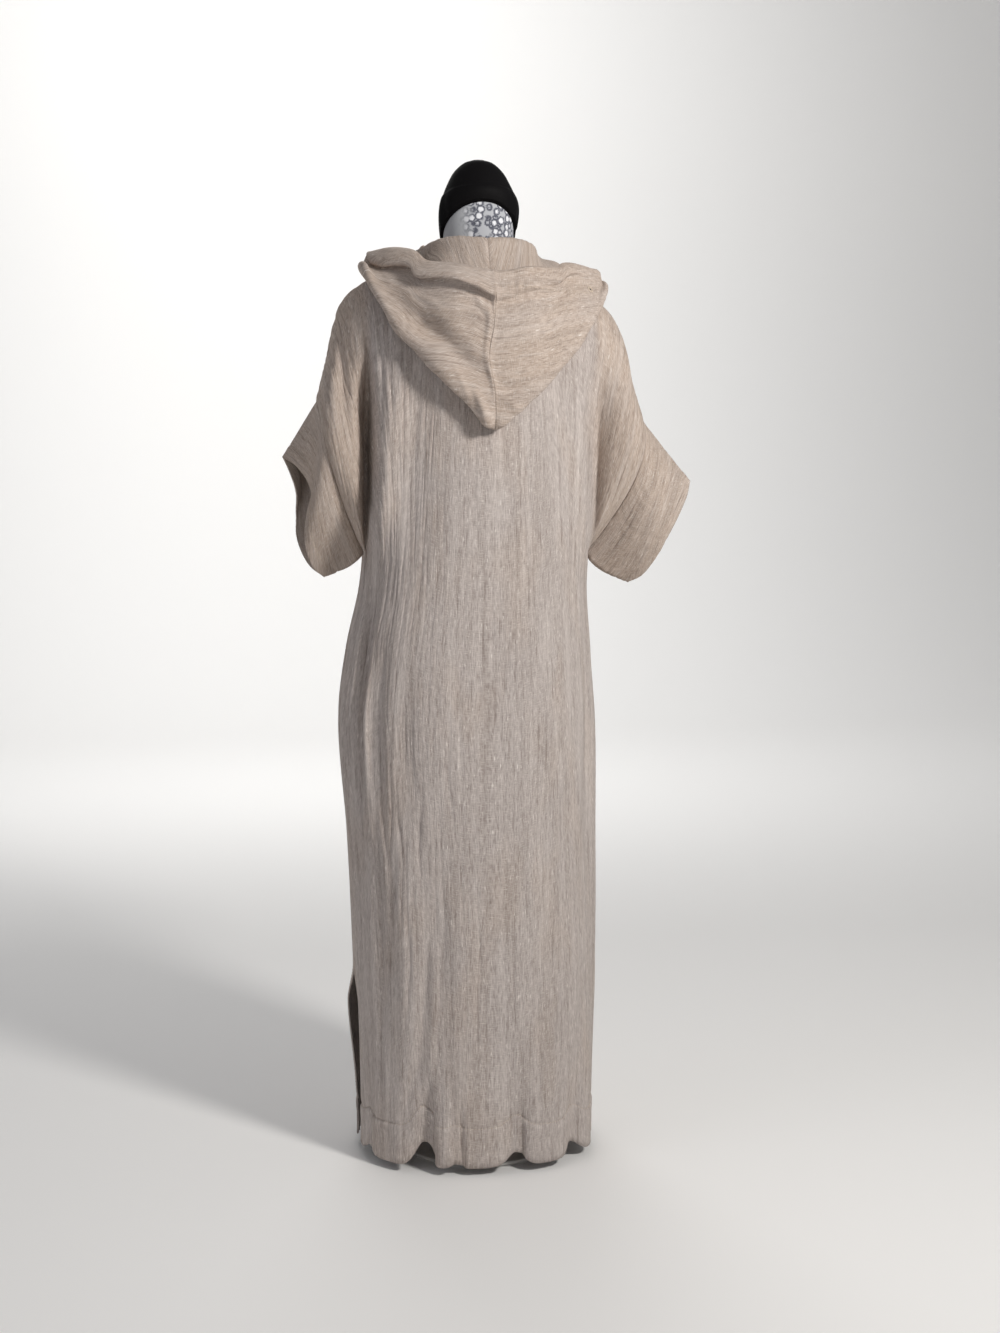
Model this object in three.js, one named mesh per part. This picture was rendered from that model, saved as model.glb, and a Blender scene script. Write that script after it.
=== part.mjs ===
// A hooded kaftan of crinkled linen gauze, worn by a limbless dress form on a plain round stand.
// Millimetres, +Z up. The garment's front faces -Y and the wearer's left is +X.
// The origin is on the floor, under the pole. The hood is down, and hangs as a pouch on the back.
//
// Every cloth piece is a wall round a middle surface. The body's surface is a set of columns: each
// starts on the shoulder line or the neckline, runs down over the figure to the underarm level, and
// goes on down the skirt as one line of a stack of rings. The hood is laid on the same columns, so
// it follows the shoulders at a stated height above them.
import * as THREE from "three";

// Cloth and seams
const clothWall = 1.6; // two layers of gauze
const hemWall = 2.6; // the cloth turned up on itself
const seamGap = 0.65; // between the middles of two sewn walls' ends
const seamSearch = 1e-3; // points nearer than this are one seam point
const mitreLimit = 0.5; // the sharpest lean at which a seam is still mitred fully

// Levels of the garment
const underarmZ = 870;
const slitTopZ = 272;
const hemTopZ = 68; // the stitch line of the turned-up hem
const hemZ = 12; // the lowest point of the hem
const ringPower = 2.4; // 2 is an ellipse, and more is boxier

// Columns and rows of the grids
const backNeckColumns = 6;
const frontNeckColumns = 6;
const shoulderColumns = 10;
const topRows = 11;
const skirtRows = 11;
const slitRows = 4;
const hemRows = 2;
const sleeveRows = 4;
const hoodBackColumns = 10;
const hoodFrontColumns = 10;

// The skirt's rings: how far each side, the back and the front lie from the pole's axis
const rings = [
  { z: 1000, left: 164, right: 160, back: 126, front: 128 },
  { z: underarmZ, left: 166, right: 158, back: 127, front: 130 },
  { z: 811, left: 172, right: 156, back: 128, front: 133 },
  { z: 729, left: 190, right: 161, back: 131, front: 138 },
  { z: 627, left: 201, right: 166, back: 138, front: 145 },
  { z: 463, left: 190, right: 165, back: 144, front: 150 },
  { z: 297, left: 183, right: 167, back: 148, front: 154 },
  { z: 65, left: 178, right: 168, back: 151, front: 157 },
  { z: 0, left: 178, right: 168, back: 151, front: 157 },
];

// The shoulder line, from the side of the neck over the shoulder to the top of the sleeve seam
const shoulderLines = {
  left: [
    { x: 72, y: -2, z: 1290 },
    { x: 118, y: -6, z: 1272 },
    { x: 161, y: -8, z: 1252 },
    { x: 192, y: -10, z: 1226 },
    { x: 207, y: -12, z: 1184 },
    { x: 217, y: -14, z: 1136 },
    { x: 230, y: -16, z: 1083 },
  ],
  right: [
    { x: -72, y: -2, z: 1286 },
    { x: -118, y: -4, z: 1263 },
    { x: -160, y: -4, z: 1240 },
    { x: -193, y: -4, z: 1212 },
    { x: -212, y: -4, z: 1172 },
    { x: -221, y: -4, z: 1122 },
    { x: -238, y: -4, z: 1064 },
  ],
};

// The neckline, from the side of the neck to the centre, and how fast a column swings out to its ring
const necklines = {
  back: {
    side: [{ x: 57, y: 38, z: 1291 }, { x: 30, y: 57, z: 1290 }],
    centre: { x: 0, y: 63, z: 1289 },
    swing: 5.5,
  },
  front: {
    side: [{ x: 66, y: -48, z: 1262 }, { x: 40, y: -88, z: 1226 }],
    centre: { x: 0, y: -110, z: 1194 },
    swing: 3.2,
  },
};
const fallPower = 1.25; // above 1, a column leaves the shoulder line level
const wingFrom = 0.62; // the share of a panel's half-width where the dropped shoulder begins
const wingSwell = { back: 62, front: 54 }; // how far the armhole stands off the shoulder line
const wingDrop = 2.2; // above 1, the dropped shoulder hangs outwards before it turns in
const rowSpread = 1.45; // above 1, rows crowd towards the shoulder line

// The folds where the dropped shoulders meet the body's sides. Turn 0 is the left side seam, 90 the
// centre back, 180 the right side seam and 270 the centre front. line is how far round from the side
// seam a fold lies at each height, so that it hangs plumb, and share is the depth that it takes.
const underarmFold = {
  width: 6,
  share: { left: 0.72, right: 0.3 },
  top: 1200,
  bottom: 760,
  line: [
    { z: 870, turn: 13 },
    { z: 900, turn: 18.5 },
    { z: 950, turn: 24.8 },
    { z: 1000, turn: 28.7 },
    { z: 1100, turn: 33 },
    { z: 1200, turn: 36 },
  ],
};

// Long soft folds of the body. depth is inwards, in mm, and a negative depth is a ridge.
const folds = [
  { turn: 26, top: 860, bottom: 500, width: 5, depth: 13 },
  { turn: 34, top: 830, bottom: 430, width: 5, depth: -5 },
  { turn: 41, top: 760, bottom: 480, width: 5, depth: 8 },
  { turn: 57, top: 720, bottom: 500, width: 5, depth: 4 },
  { turn: 12, top: 830, bottom: 380, width: 6, depth: -4 },
  { turn: 37, top: 460, bottom: 170, width: 4, depth: 6 },
  { turn: 52, top: 520, bottom: 60, width: 6, depth: -4 },
  { turn: 70, top: 480, bottom: 30, width: 5, depth: 6 },
  { turn: 92, top: 900, bottom: 640, width: 6, depth: 2.5 },
  { turn: 112, top: 620, bottom: 120, width: 7, depth: 4 },
  { turn: 128, top: 520, bottom: 90, width: 7, depth: -4 },
  { turn: 148, top: 800, bottom: 330, width: 6, depth: 5 },
  { turn: 163, top: 700, bottom: 200, width: 6, depth: -4 },
  { turn: 205, top: 820, bottom: 300, width: 7, depth: 8 },
  { turn: 222, top: 700, bottom: 100, width: 6, depth: -5 },
  { turn: 238, top: 900, bottom: 200, width: 6, depth: 9 },
  { turn: 256, top: 640, bottom: 60, width: 6, depth: -5 },
  { turn: 271, top: 980, bottom: 260, width: 6, depth: 7 },
  { turn: 288, top: 700, bottom: 90, width: 6, depth: -5 },
  { turn: 303, top: 900, bottom: 180, width: 6, depth: 9 },
  { turn: 320, top: 620, bottom: 60, width: 7, depth: -5 },
  { turn: 335, top: 820, bottom: 330, width: 7, depth: 8 },
];

// Flutes of the hem: each dents the hem inwards and lifts its edge, and dies out at top
const flutes = [
  { turn: 20, width: 6, depth: 5, lift: 10, top: 240 },
  { turn: 58, width: 5, depth: 15, lift: 30, top: 210 },
  { turn: 75, width: 4, depth: 7, lift: 5, top: 170 },
  { turn: 98, width: 5, depth: 10, lift: 17, top: 190 },
  { turn: 134, width: 7, depth: 12, lift: 16, top: 220 },
  { turn: 162, width: 6, depth: 7, lift: 12, top: 240 },
  { turn: 184, width: 9, depth: 4, lift: 11, top: 230 },
  { turn: 206, width: 6, depth: 9, lift: 12, top: 220 },
  { turn: 233, width: 5, depth: 13, lift: 20, top: 250 },
  { turn: 262, width: 6, depth: 8, lift: 9, top: 180 },
  { turn: 291, width: 5, depth: 13, lift: 18, top: 230 },
  { turn: 322, width: 6, depth: 9, lift: 12, top: 220 },
  { turn: 346, width: 5, depth: 6, lift: 8, top: 200 },
];

// The side slits: the back's edge draws in, and the front's stands out past it near the top
const slit = { turn: 3.2, full: 60, backIn: 3, frontOut: 10, frontOutAt: 215, frontOutRange: 90 };

// The sleeves. Each cuff's edge runs from its top corner down the back, and down the front, to its
// lowest point, through these places. swell rounds the cloth between the armhole and the cuff, and
// sag is how far it hangs below the straight line between them at the underarm.
const sleeves = {
  left: {
    back: [
      { x: 278, y: -30, z: 1004 },
      { x: 257, y: 0, z: 988 },
      { x: 240, y: 15, z: 956 },
      { x: 247, y: 22, z: 922 },
      { x: 250, y: 16, z: 882 },
      { x: 238, y: 0, z: 848 },
      { x: 222, y: -12, z: 834 },
    ],
    front: [
      { x: 278, y: -30, z: 1004 },
      { x: 268, y: -44, z: 984 },
      { x: 258, y: -54, z: 954 },
      { x: 258, y: -58, z: 922 },
      { x: 258, y: -50, z: 888 },
      { x: 242, y: -32, z: 850 },
      { x: 222, y: -12, z: 834 },
    ],
    swell: 8,
    sag: 8,
  },
  right: {
    back: [
      { x: -312, y: 8, z: 970 },
      { x: -301, y: 28, z: 946 },
      { x: -286, y: 36, z: 918 },
      { x: -272, y: 38, z: 892 },
      { x: -257, y: 32, z: 862 },
      { x: -238, y: 18, z: 834 },
      { x: -222, y: 6, z: 825 },
    ],
    front: [
      { x: -312, y: 8, z: 970 },
      { x: -302, y: -10, z: 948 },
      { x: -287, y: -22, z: 920 },
      { x: -272, y: -26, z: 892 },
      { x: -256, y: -22, z: 862 },
      { x: -238, y: -8, z: 834 },
      { x: -222, y: 6, z: 825 },
    ],
    swell: 9,
    sag: 12,
  },
};

// The hood's stations, from the centre back (at 0) round the side of the neck (1) to the centre
// front (2). fold is the pouch's bottom and rim its face edge: each lies over the place of the body
// that is x from its middle and at that fall. rimLift is the rim's height over the body, belly that
// of the cloth between the two, and crest how high the hood stands round the neck. The turned band
// stands out by bulge, and hangs over the cloth under it by drop, a share of the outer layer.
const hoodStations = {
  left: [
    { at: 0, foldX: 0, foldFall: 0.653, rimX: 0, rimFall: 0.18, rimLift: 30,
      belly: 26, crest: 22, bulge: 5, drop: 0.02 },
    { at: 0.06, foldX: 12, foldFall: 0.64, rimX: 8, rimFall: 0.179, rimLift: 30,
      belly: 26, crest: 22, bulge: 6, drop: 0.03 },
    { at: 0.17, foldX: 31, foldFall: 0.585, rimX: 22, rimFall: 0.175, rimLift: 30,
      belly: 27, crest: 22, bulge: 7, drop: 0.05 },
    { at: 0.33, foldX: 62, foldFall: 0.51, rimX: 43, rimFall: 0.163, rimLift: 30,
      belly: 28, crest: 21, bulge: 7, drop: 0.05 },
    { at: 0.5, foldX: 92, foldFall: 0.425, rimX: 65, rimFall: 0.143, rimLift: 30,
      belly: 28, crest: 20, bulge: 7, drop: 0.05 },
    { at: 0.67, foldX: 121, foldFall: 0.32, rimX: 89, rimFall: 0.095, rimLift: 31,
      belly: 27, crest: 17, bulge: 7, drop: 0.05 },
    { at: 0.83, foldX: 144, foldFall: 0.19, rimX: 116, rimFall: 0.045, rimLift: 34,
      belly: 26, crest: 14, bulge: 7, drop: 0.05 },
    { at: 1, foldX: 154, foldFall: 0.07, rimX: 136, rimFall: 0.01, rimLift: 36,
      belly: 25, crest: 13, bulge: 6, drop: 0.04 },
    { at: 1.17, foldX: 150, foldFall: 0.06, rimX: 130, rimFall: 0.02, rimLift: 34,
      belly: 24, crest: 12, bulge: 4, drop: 0.02 },
    { at: 1.35, foldX: 128, foldFall: 0.15, rimX: 110, rimFall: 0.07, rimLift: 29,
      belly: 23, crest: 11, bulge: 2, drop: 0 },
    { at: 1.5, foldX: 102, foldFall: 0.2, rimX: 86, rimFall: 0.1, rimLift: 26,
      belly: 22, crest: 11, bulge: 2, drop: 0 },
    { at: 1.7, foldX: 62, foldFall: 0.22, rimX: 52, rimFall: 0.11, rimLift: 23,
      belly: 20, crest: 10, bulge: 2, drop: 0 },
    { at: 1.85, foldX: 31, foldFall: 0.19, rimX: 26, rimFall: 0.09, rimLift: 21,
      belly: 19, crest: 10, bulge: 2, drop: 0 },
    { at: 2, foldX: 0, foldFall: 0.14, rimX: 0, rimFall: 0.06, rimLift: 20,
      belly: 18, crest: 10, bulge: 2, drop: 0 },
  ],
  right: [
    { at: 0, foldX: 0, foldFall: 0.653, rimX: 0, rimFall: 0.18, rimLift: 30,
      belly: 26, crest: 22, bulge: 5, drop: 0.02 },
    { at: 0.06, foldX: 11, foldFall: 0.645, rimX: 8, rimFall: 0.179, rimLift: 30,
      belly: 26, crest: 22, bulge: 3, drop: 0.01 },
    { at: 0.17, foldX: 29, foldFall: 0.605, rimX: 23, rimFall: 0.175, rimLift: 30,
      belly: 27, crest: 22, bulge: 2, drop: 0 },
    { at: 0.33, foldX: 60, foldFall: 0.545, rimX: 46, rimFall: 0.165, rimLift: 30,
      belly: 28, crest: 21, bulge: 2, drop: 0 },
    { at: 0.5, foldX: 92, foldFall: 0.455, rimX: 70, rimFall: 0.14, rimLift: 31,
      belly: 28, crest: 19, bulge: 2, drop: 0 },
    { at: 0.67, foldX: 124, foldFall: 0.325, rimX: 96, rimFall: 0.108, rimLift: 33,
      belly: 27, crest: 17, bulge: 2, drop: 0 },
    { at: 0.83, foldX: 150, foldFall: 0.19, rimX: 123, rimFall: 0.07, rimLift: 35,
      belly: 26, crest: 15, bulge: 3, drop: 0 },
    { at: 1, foldX: 163, foldFall: 0.07, rimX: 144, rimFall: 0.03, rimLift: 36,
      belly: 25, crest: 14, bulge: 3, drop: 0 },
    { at: 1.17, foldX: 156, foldFall: 0.06, rimX: 136, rimFall: 0.02, rimLift: 34,
      belly: 24, crest: 12, bulge: 2, drop: 0 },
    { at: 1.35, foldX: 132, foldFall: 0.15, rimX: 114, rimFall: 0.07, rimLift: 29,
      belly: 23, crest: 11, bulge: 2, drop: 0 },
    { at: 1.5, foldX: 104, foldFall: 0.2, rimX: 88, rimFall: 0.1, rimLift: 26,
      belly: 22, crest: 11, bulge: 2, drop: 0 },
    { at: 1.7, foldX: 62, foldFall: 0.22, rimX: 52, rimFall: 0.11, rimLift: 23,
      belly: 20, crest: 10, bulge: 2, drop: 0 },
    { at: 1.85, foldX: 31, foldFall: 0.19, rimX: 26, rimFall: 0.09, rimLift: 21,
      belly: 19, crest: 10, bulge: 2, drop: 0 },
    { at: 2, foldX: 0, foldFall: 0.14, rimX: 0, rimFall: 0.06, rimLift: 20,
      belly: 18, crest: 10, bulge: 2, drop: 0 },
  ],
};
const hoodSeamLift = 2.2; // the hood's edge over the neckline it is sewn to
const hoodLie = 8; // its inner layer over the body
const hoodShoulder = { at: 1.06, range: 0.2, lift: 8 }; // how much higher it lies on the shoulder line
const hoodFoldDepth = 15; // between the pouch's two layers at the bottom fold
const bandShare = 0.2; // the turned band's share of the outer layer

// Key points of a profile: along the way in to the fold, or out from the fold to the rim
const hoodRowsBetween = [1, 1, 1, 2, 2, 1, 1, 2, 2, 1, 1, 2, 1];

// The dress form: neck, shoulders, bust, waist and hips of a general figure
const formRings = [
  { z: 600, half: 146, back: 96, front: 92, power: 2.2, slope: 0 },
  { z: 640, half: 149, back: 102, front: 94, power: 2.2, slope: 0 },
  { z: 720, half: 150, back: 112, front: 96, power: 2.2, slope: 0 },
  { z: 800, half: 138, back: 98, front: 94, power: 2.2, slope: 0 },
  { z: 880, half: 120, back: 82, front: 92, power: 2.2, slope: 0 },
  { z: 960, half: 126, back: 92, front: 98, power: 2.2, slope: 0 },
  { z: 1040, half: 140, back: 102, front: 112, power: 2.2, slope: 0 },
  { z: 1090, half: 146, back: 108, front: 112, power: 2.2, slope: 0 },
  { z: 1140, half: 150, back: 108, front: 98, power: 2.3, slope: 0 },
  { z: 1180, half: 158, back: 100, front: 84, power: 2.2, slope: 0 },
  { z: 1206, half: 158, back: 90, front: 72, power: 2, slope: 0 },
  { z: 1236, half: 148, back: 66, front: 58, power: 1.7, slope: 0 },
  { z: 1257.6, half: 122, back: 52, front: 48, power: 1.5, slope: 0.08 },
  { z: 1270, half: 95, back: 47, front: 46, power: 1.5, slope: 0.2 },
  { z: 1280, half: 68, back: 46, front: 46, power: 1.7, slope: 0.32 },
];
const formTurns = 24;
const neck = {
  half: 50,
  depth: 48,
  y: 2,
  baseSlope: 0.42,
  slope: 0.8,
  baseZ: 1287,
  topZ: 1320,
  rings: 3,
};
const capRings = [
  { rise: 0, r: 53, slope: 0.8 },
  { rise: 16, r: 55, slope: 0.62 },
  { rise: 34, r: 55, slope: 0.42 },
  { rise: 52, r: 51, slope: 0.24 },
  { rise: 70, r: 44, slope: 0.1 },
  { rise: 86, r: 35, slope: 0 },
  { rise: 98, r: 22, slope: 0 },
  { rise: 103, r: 9, slope: 0 },
];
const pole = { r: 12.5, flangeR: 34, flangeHeight: 8 };
const base = { r: 118, edge: 5, thickness: 8, hubR: 24, hubHeight: 34, chamfer: 2 };
const roundTurns = 32;
const standGap = 0.3; // between the parts of the form and its stand

// Colours of linen, a printed neck cover, black cloth and painted steel
const linen = { color: 0xb5a798, roughness: 0.92, metalness: 0 };
const formCover = { color: 0xcfcfd2, roughness: 0.85, metalness: 0 };
const blackCover = { color: 0x17151a, roughness: 0.8, metalness: 0 };
const paintedSteel = { color: 0xdedcd8, roughness: 0.45, metalness: 0.2 };

const half = 0.5;
const rightAngle = 90;
const { lerp, clamp, degToRad } = THREE.MathUtils;

// Rises smoothly from 0 to 1 between two values, in either order
function ease(from, to, value) {
  const t = clamp((value - from) / (to - from), 0, 1);
  return t * t * (3 - 2 * t);
}

// A bell of height 1 round a centre
function bell(value, centre, width) {
  return Math.exp(-(((value - centre) / width) ** 2));
}

// A bell on a circle of 360 degrees
function bellTurn(turn, centre, width) {
  const away = THREE.MathUtils.euclideanModulo(turn - centre + 180, 360) - 180;
  return bell(away, 0, width);
}

// The value of a table's column at a key, on a smooth curve through the rows
function read(table, key, value, column) {
  const rising = table[1][key] > table[0][key];
  const rows = rising ? table : [...table].reverse();
  const last = rows.length - 1;
  if (value <= rows[0][key]) return rows[0][column];
  if (value >= rows[last][key]) return rows[last][column];
  const i = rows.findIndex((row) => row[key] > value) - 1;
  const [a, b] = [rows[i], rows[i + 1]];
  const [before, after] = [rows[Math.max(0, i - 1)], rows[Math.min(last, i + 2)]];
  const span = b[key] - a[key];
  const t = (value - a[key]) / span;
  const slopeA = ((b[column] - before[column]) / (b[key] - before[key])) * span;
  const slopeB = ((after[column] - a[column]) / (after[key] - a[key])) * span;
  const t2 = t * t;
  const t3 = t2 * t;
  return (
    (2 * t3 - 3 * t2 + 1) * a[column] +
    (t3 - 2 * t2 + t) * slopeA +
    (3 * t2 - 2 * t3) * b[column] +
    (t3 - t2) * slopeB
  );
}

// One coordinate of a ring that is boxier than an ellipse
function boxy(share, power) {
  return Math.sign(share) * Math.abs(share) ** (2 / power);
}

// How far the long folds push the cloth in at a place
function foldDepth(turn, z) {
  let sum = 0;
  for (const fold of folds) {
    const middle = (fold.top + fold.bottom) / 2;
    const reach = (fold.top - fold.bottom) / 2;
    const along = clamp(1 - ((z - middle) / reach) ** 2, 0, 1);
    sum += fold.depth * along * bellTurn(turn, fold.turn, fold.width);
  }
  return sum;
}

// The share of a fold's or flute's dent that is left at a height
function fluteDepth(turn, z) {
  let sum = 0;
  for (const flute of flutes)
    sum += flute.depth * ease(flute.top, hemZ, z) * bellTurn(turn, flute.turn, flute.width);
  return sum;
}

// The height of the hem's edge
function hemEdge(turn) {
  let z = hemZ;
  for (const flute of flutes) z += flute.lift * bellTurn(turn, flute.turn, flute.width);
  return z;
}

// A point of the skirt: its ring, less the folds and flutes there
function skirtPoint(turn, z, outwards = 0) {
  const angle = degToRad(turn);
  const [c, s] = [Math.cos(angle), Math.sin(angle)];
  const across = read(rings, "z", z, c > 0 ? "left" : "right");
  const depth = read(rings, "z", z, s > 0 ? "back" : "front");
  const push = outwards - foldDepth(turn, z) - fluteDepth(turn, z);
  return new THREE.Vector3(
    across * boxy(c, ringPower) + push * c,
    depth * boxy(s, ringPower) * foldIn(turn, z) + push * s,
    z,
  );
}

// What the fold under the arm leaves of a point's distance from the middle plane
function foldIn(turn, z) {
  const { share, width, top, bottom, line } = underarmFold;
  const place = read(line, "z", z, "turn");
  const near = (seam) =>
    Math.max(bellTurn(turn, seam + place, width), bellTurn(turn, seam - place, width));
  const middle = (top + bottom) / 2;
  const along = clamp(1 - ((z - middle) / (top - middle)) ** 2, 0, 1);
  return 1 - along * Math.max(share.left * near(0), share.right * near(180));
}

const curveOf = (points) =>
  new THREE.CatmullRomCurve3(points.map((p) => new THREE.Vector3(p.x, p.y, p.z)));
const flip = (p) => ({ x: -p.x, y: p.y, z: p.z });
const shoulderCurves = {
  left: curveOf(shoulderLines.left),
  right: curveOf(shoulderLines.right),
};

// The neckline's curve on one side of one panel, from the side of the neck to the centre
function necklineCurve(face, side) {
  const { side: between, centre } = necklines[face];
  const start = shoulderLines[side][0];
  const points = side === "left" ? between : between.map(flip);
  return curveOf([start, ...points, centre, ...points.map(flip).reverse().slice(0, 1)]);
}
const necklineCurves = {};
for (const face of ["back", "front"])
  for (const side of ["left", "right"]) necklineCurves[`${face} ${side}`] = necklineCurve(face, side);
const toCentre = 3 / 4; // the centre is the fourth of the curve's five points

const neckColumns = { back: backNeckColumns, front: frontNeckColumns };
const halfColumns = (face) => neckColumns[face] + shoulderColumns;

// Where a column starts. Columns count from 0 at the centre, and are positive on the wearer's left.
function columnStart(face, column) {
  const side = column >= 0 ? "left" : "right";
  const out = Math.abs(column);
  const inNeck = neckColumns[face];
  if (out >= inNeck) return shoulderCurves[side].getPointAt((out - inNeck) / shoulderColumns);
  return necklineCurves[`${face} ${side}`].getPoint(toCentre * (1 - out / inNeck));
}

// The turn at which a column meets its ring
function columnTurn(face, column) {
  const turn = rightAngle * (1 - column / halfColumns(face));
  return face === "back" ? turn : 360 - turn;
}

// A point of the body above the underarm. fall is 0 on the shoulder line and 1 at the underarm.
function topPoint(face, column, fall) {
  const start = columnStart(face, column);
  const turn = columnTurn(face, column);
  const end = skirtPoint(turn, underarmZ);
  const sign = face === "back" ? 1 : -1;
  const out = Math.abs(column) / halfColumns(face);
  const wing = ease(wingFrom, 1, out);
  const z = lerp(start.z, end.z, fall ** fallPower);
  const x = lerp(start.x, end.x, fall ** lerp(1, wingDrop, wing));
  const swung = 1 - (1 - fall) ** necklines[face].swing;
  const swell = sign * wingSwell[face] * wing * Math.sin(Math.PI * fall ** 0.85);
  const unfoldedY = end.y / foldIn(turn, underarmZ);
  const fold = lerp(1, foldIn(turn, z), ease(0, 0.5, fall));
  const dent = foldDepth(turn, z) - foldDepth(turn, underarmZ);
  const y = (lerp(start.y, unfoldedY, swung) + swell) * fold - sign * dent * ease(0, 0.4, fall);
  return new THREE.Vector3(x, y, z);
}

// The height of a skirt row. Rows stand level down to the hem, whose edge waves.
function skirtRowZ(row, turn) {
  if (row <= skirtRows) return lerp(underarmZ, slitTopZ, row / skirtRows);
  const inSlit = row - skirtRows;
  const wave = hemEdge(turn) - hemZ;
  const waved = (z) => z + wave * ease(slitTopZ, hemZ, z);
  if (inSlit <= slitRows) return waved(lerp(slitTopZ, hemTopZ, inSlit / slitRows));
  return waved(lerp(hemTopZ, hemZ, (inSlit - slitRows) / hemRows));
}

// A point of the skirt by column and row, with the slit's edges drawn apart below its top
function skirtGridPoint(face, column, row) {
  const sign = face === "back" ? 1 : -1;
  const out = Math.abs(column) / halfColumns(face);
  let turn = columnTurn(face, column);
  let z = skirtRowZ(row, turn);
  const open = ease(slitTopZ, slitTopZ - slit.full, z);
  turn += sign * Math.sign(column) * slit.turn * open * out ** 4;
  z = skirtRowZ(row, turn);
  const atEdge = ease(0.8, 1, out);
  const stand = slit.frontOut * bell(z, slit.frontOutAt, slit.frontOutRange) * open;
  return skirtPoint(turn, z, atEdge * (face === "back" ? -slit.backIn * open : stand));
}

// The fall of a row above the underarm
const rowFall = (row) => (row / topRows) ** rowSpread;

// A list, and a grid of points by column and then row
const line = (count, at) => Array.from({ length: count + 1 }, (_, i) => at(i));
const grid = (columns, rows, at) => line(columns, (i) => line(rows, (j) => at(i, j)));

// A whole front or back, from the left edge to the right
function bodyGrid(face) {
  const columns = halfColumns(face);
  const rows = topRows + skirtRows + slitRows + hemRows;
  return grid(2 * columns, rows, (i, j) => {
    const column = columns - i;
    return j < topRows ? topPoint(face, column, rowFall(j)) : skirtGridPoint(face, column, j - topRows);
  });
}

// A sleeve: rings from the armhole, down its back edge and up its front edge, out to the cuff
function sleeveGrid(side) {
  const { back, front, swell, sag } = sleeves[side];
  const cuff = { back: curveOf(back), front: curveOf(front) };
  const sign = side === "left" ? 1 : -1;
  const round = 2 * topRows;
  return grid(round, sleeveRows, (i, j) => {
    const onBack = i % round <= topRows;
    const face = onBack ? "back" : "front";
    const row = onBack ? i % round : round - i;
    const edge = sign * halfColumns(face);
    const atUnderarm = row === topRows;
    const armhole = atUnderarm ? skirtGridPoint(face, edge, 0) : topPoint(face, edge, rowFall(row));
    const down = row / topRows;
    const along = j / sleeveRows;
    const point = new THREE.Vector3().lerpVectors(armhole, cuff[face].getPointAt(down), along);
    point.y += (onBack ? 1 : -1) * swell * Math.sin(Math.PI * down) * Math.sin(Math.PI * along);
    point.z -= sag * down ** 3 * Math.sin(Math.PI * along ** 0.6);
    return point;
  });
}

// The body's surface direction at a place above the underarm, outwards
function topNormal(face, column, fall) {
  const [stepColumn, stepFall] = [0.05, 0.004];
  const low = Math.max(0, fall - stepFall);
  const before = topPoint(face, column - stepColumn, fall);
  const across = topPoint(face, column + stepColumn, fall).sub(before);
  const down = topPoint(face, column, fall + stepFall).sub(topPoint(face, column, low));
  return across.cross(down).multiplyScalar(face === "back" ? 1 : -1).normalize();
}

// A point at a height over the body. Near the shoulder line the two panels' directions are blended,
// so the hood passes over it without a break.
function overBody(face, column, fall, lift) {
  const normal = topNormal(face, column, fall);
  if (Math.abs(column) >= neckColumns[face]) {
    const other = face === "back" ? "front" : "back";
    const there = Math.sign(column) * (Math.abs(column) - neckColumns[face] + neckColumns[other]);
    const share = half * (1 - ease(0, 0.12, fall));
    normal.lerp(topNormal(other, there, Math.min(fall, 0.02)), share).normalize();
  }
  return topPoint(face, column, fall).addScaledVector(normal, lift);
}

// The column that passes a distance from the middle, at a fall
function columnAt(face, sign, x, fall) {
  let [low, high] = [0, halfColumns(face)];
  for (let k = 0; k < 30; k++) {
    const middle = (low + high) / 2;
    if (Math.abs(topPoint(face, sign * middle, fall).x) < x) low = middle;
    else high = middle;
  }
  return sign * low;
}

// The key points of one of the hood's profiles: from the neckline over the crest, down the inside of
// the pouch, round its bottom fold, up its outside and over the band to the rim
function hoodKeys(side, station) {
  const { at, belly, rimLift, crest, bulge, drop } = station;
  const face = at > 1 ? "front" : "back";
  const neckColumn = neckColumns[face] * (face === "back" ? at : 2 - at);
  const start = { x: columnStart(face, neckColumn).x, fall: 0 };
  const fold = { x: station.foldX, fall: station.foldFall };
  const rim = { x: station.rimX, fall: station.rimFall };
  const sign = side === "left" ? 1 : -1;
  const key = (from, to, share, lift) => {
    const fall = lerp(from.fall, to.fall, share);
    return overBody(face, columnAt(face, sign, lerp(from.x, to.x, share), fall), fall, lift);
  };
  const band = 1 - bandShare;
  const lie = hoodLie + hoodShoulder.lift * bell(at, hoodShoulder.at, hoodShoulder.range);
  return [
    key(start, fold, 0, hoodSeamLift),
    key(start, fold, 0.03, crest),
    key(start, fold, 0.16, hoodLie + 3),
    key(start, fold, 0.35, lie + 1),
    key(start, fold, 0.65, lie),
    key(start, fold, 0.95, lie),
    key(start, fold, 1.01, lie + hoodFoldDepth * half),
    key(fold, rim, 0.04, lie + hoodFoldDepth),
    key(fold, rim, 0.4, belly),
    key(fold, rim, band - 0.02, lerp(belly, rimLift, 0.7)),
    key(fold, rim, band + 0.03 - drop, lerp(belly, rimLift, 0.8) + bulge),
    key(fold, rim, band + 0.12, rimLift + bulge * half),
    key(fold, rim, 1, rimLift),
    key(fold, rim, 1, rimLift - 6),
  ];
}

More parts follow.
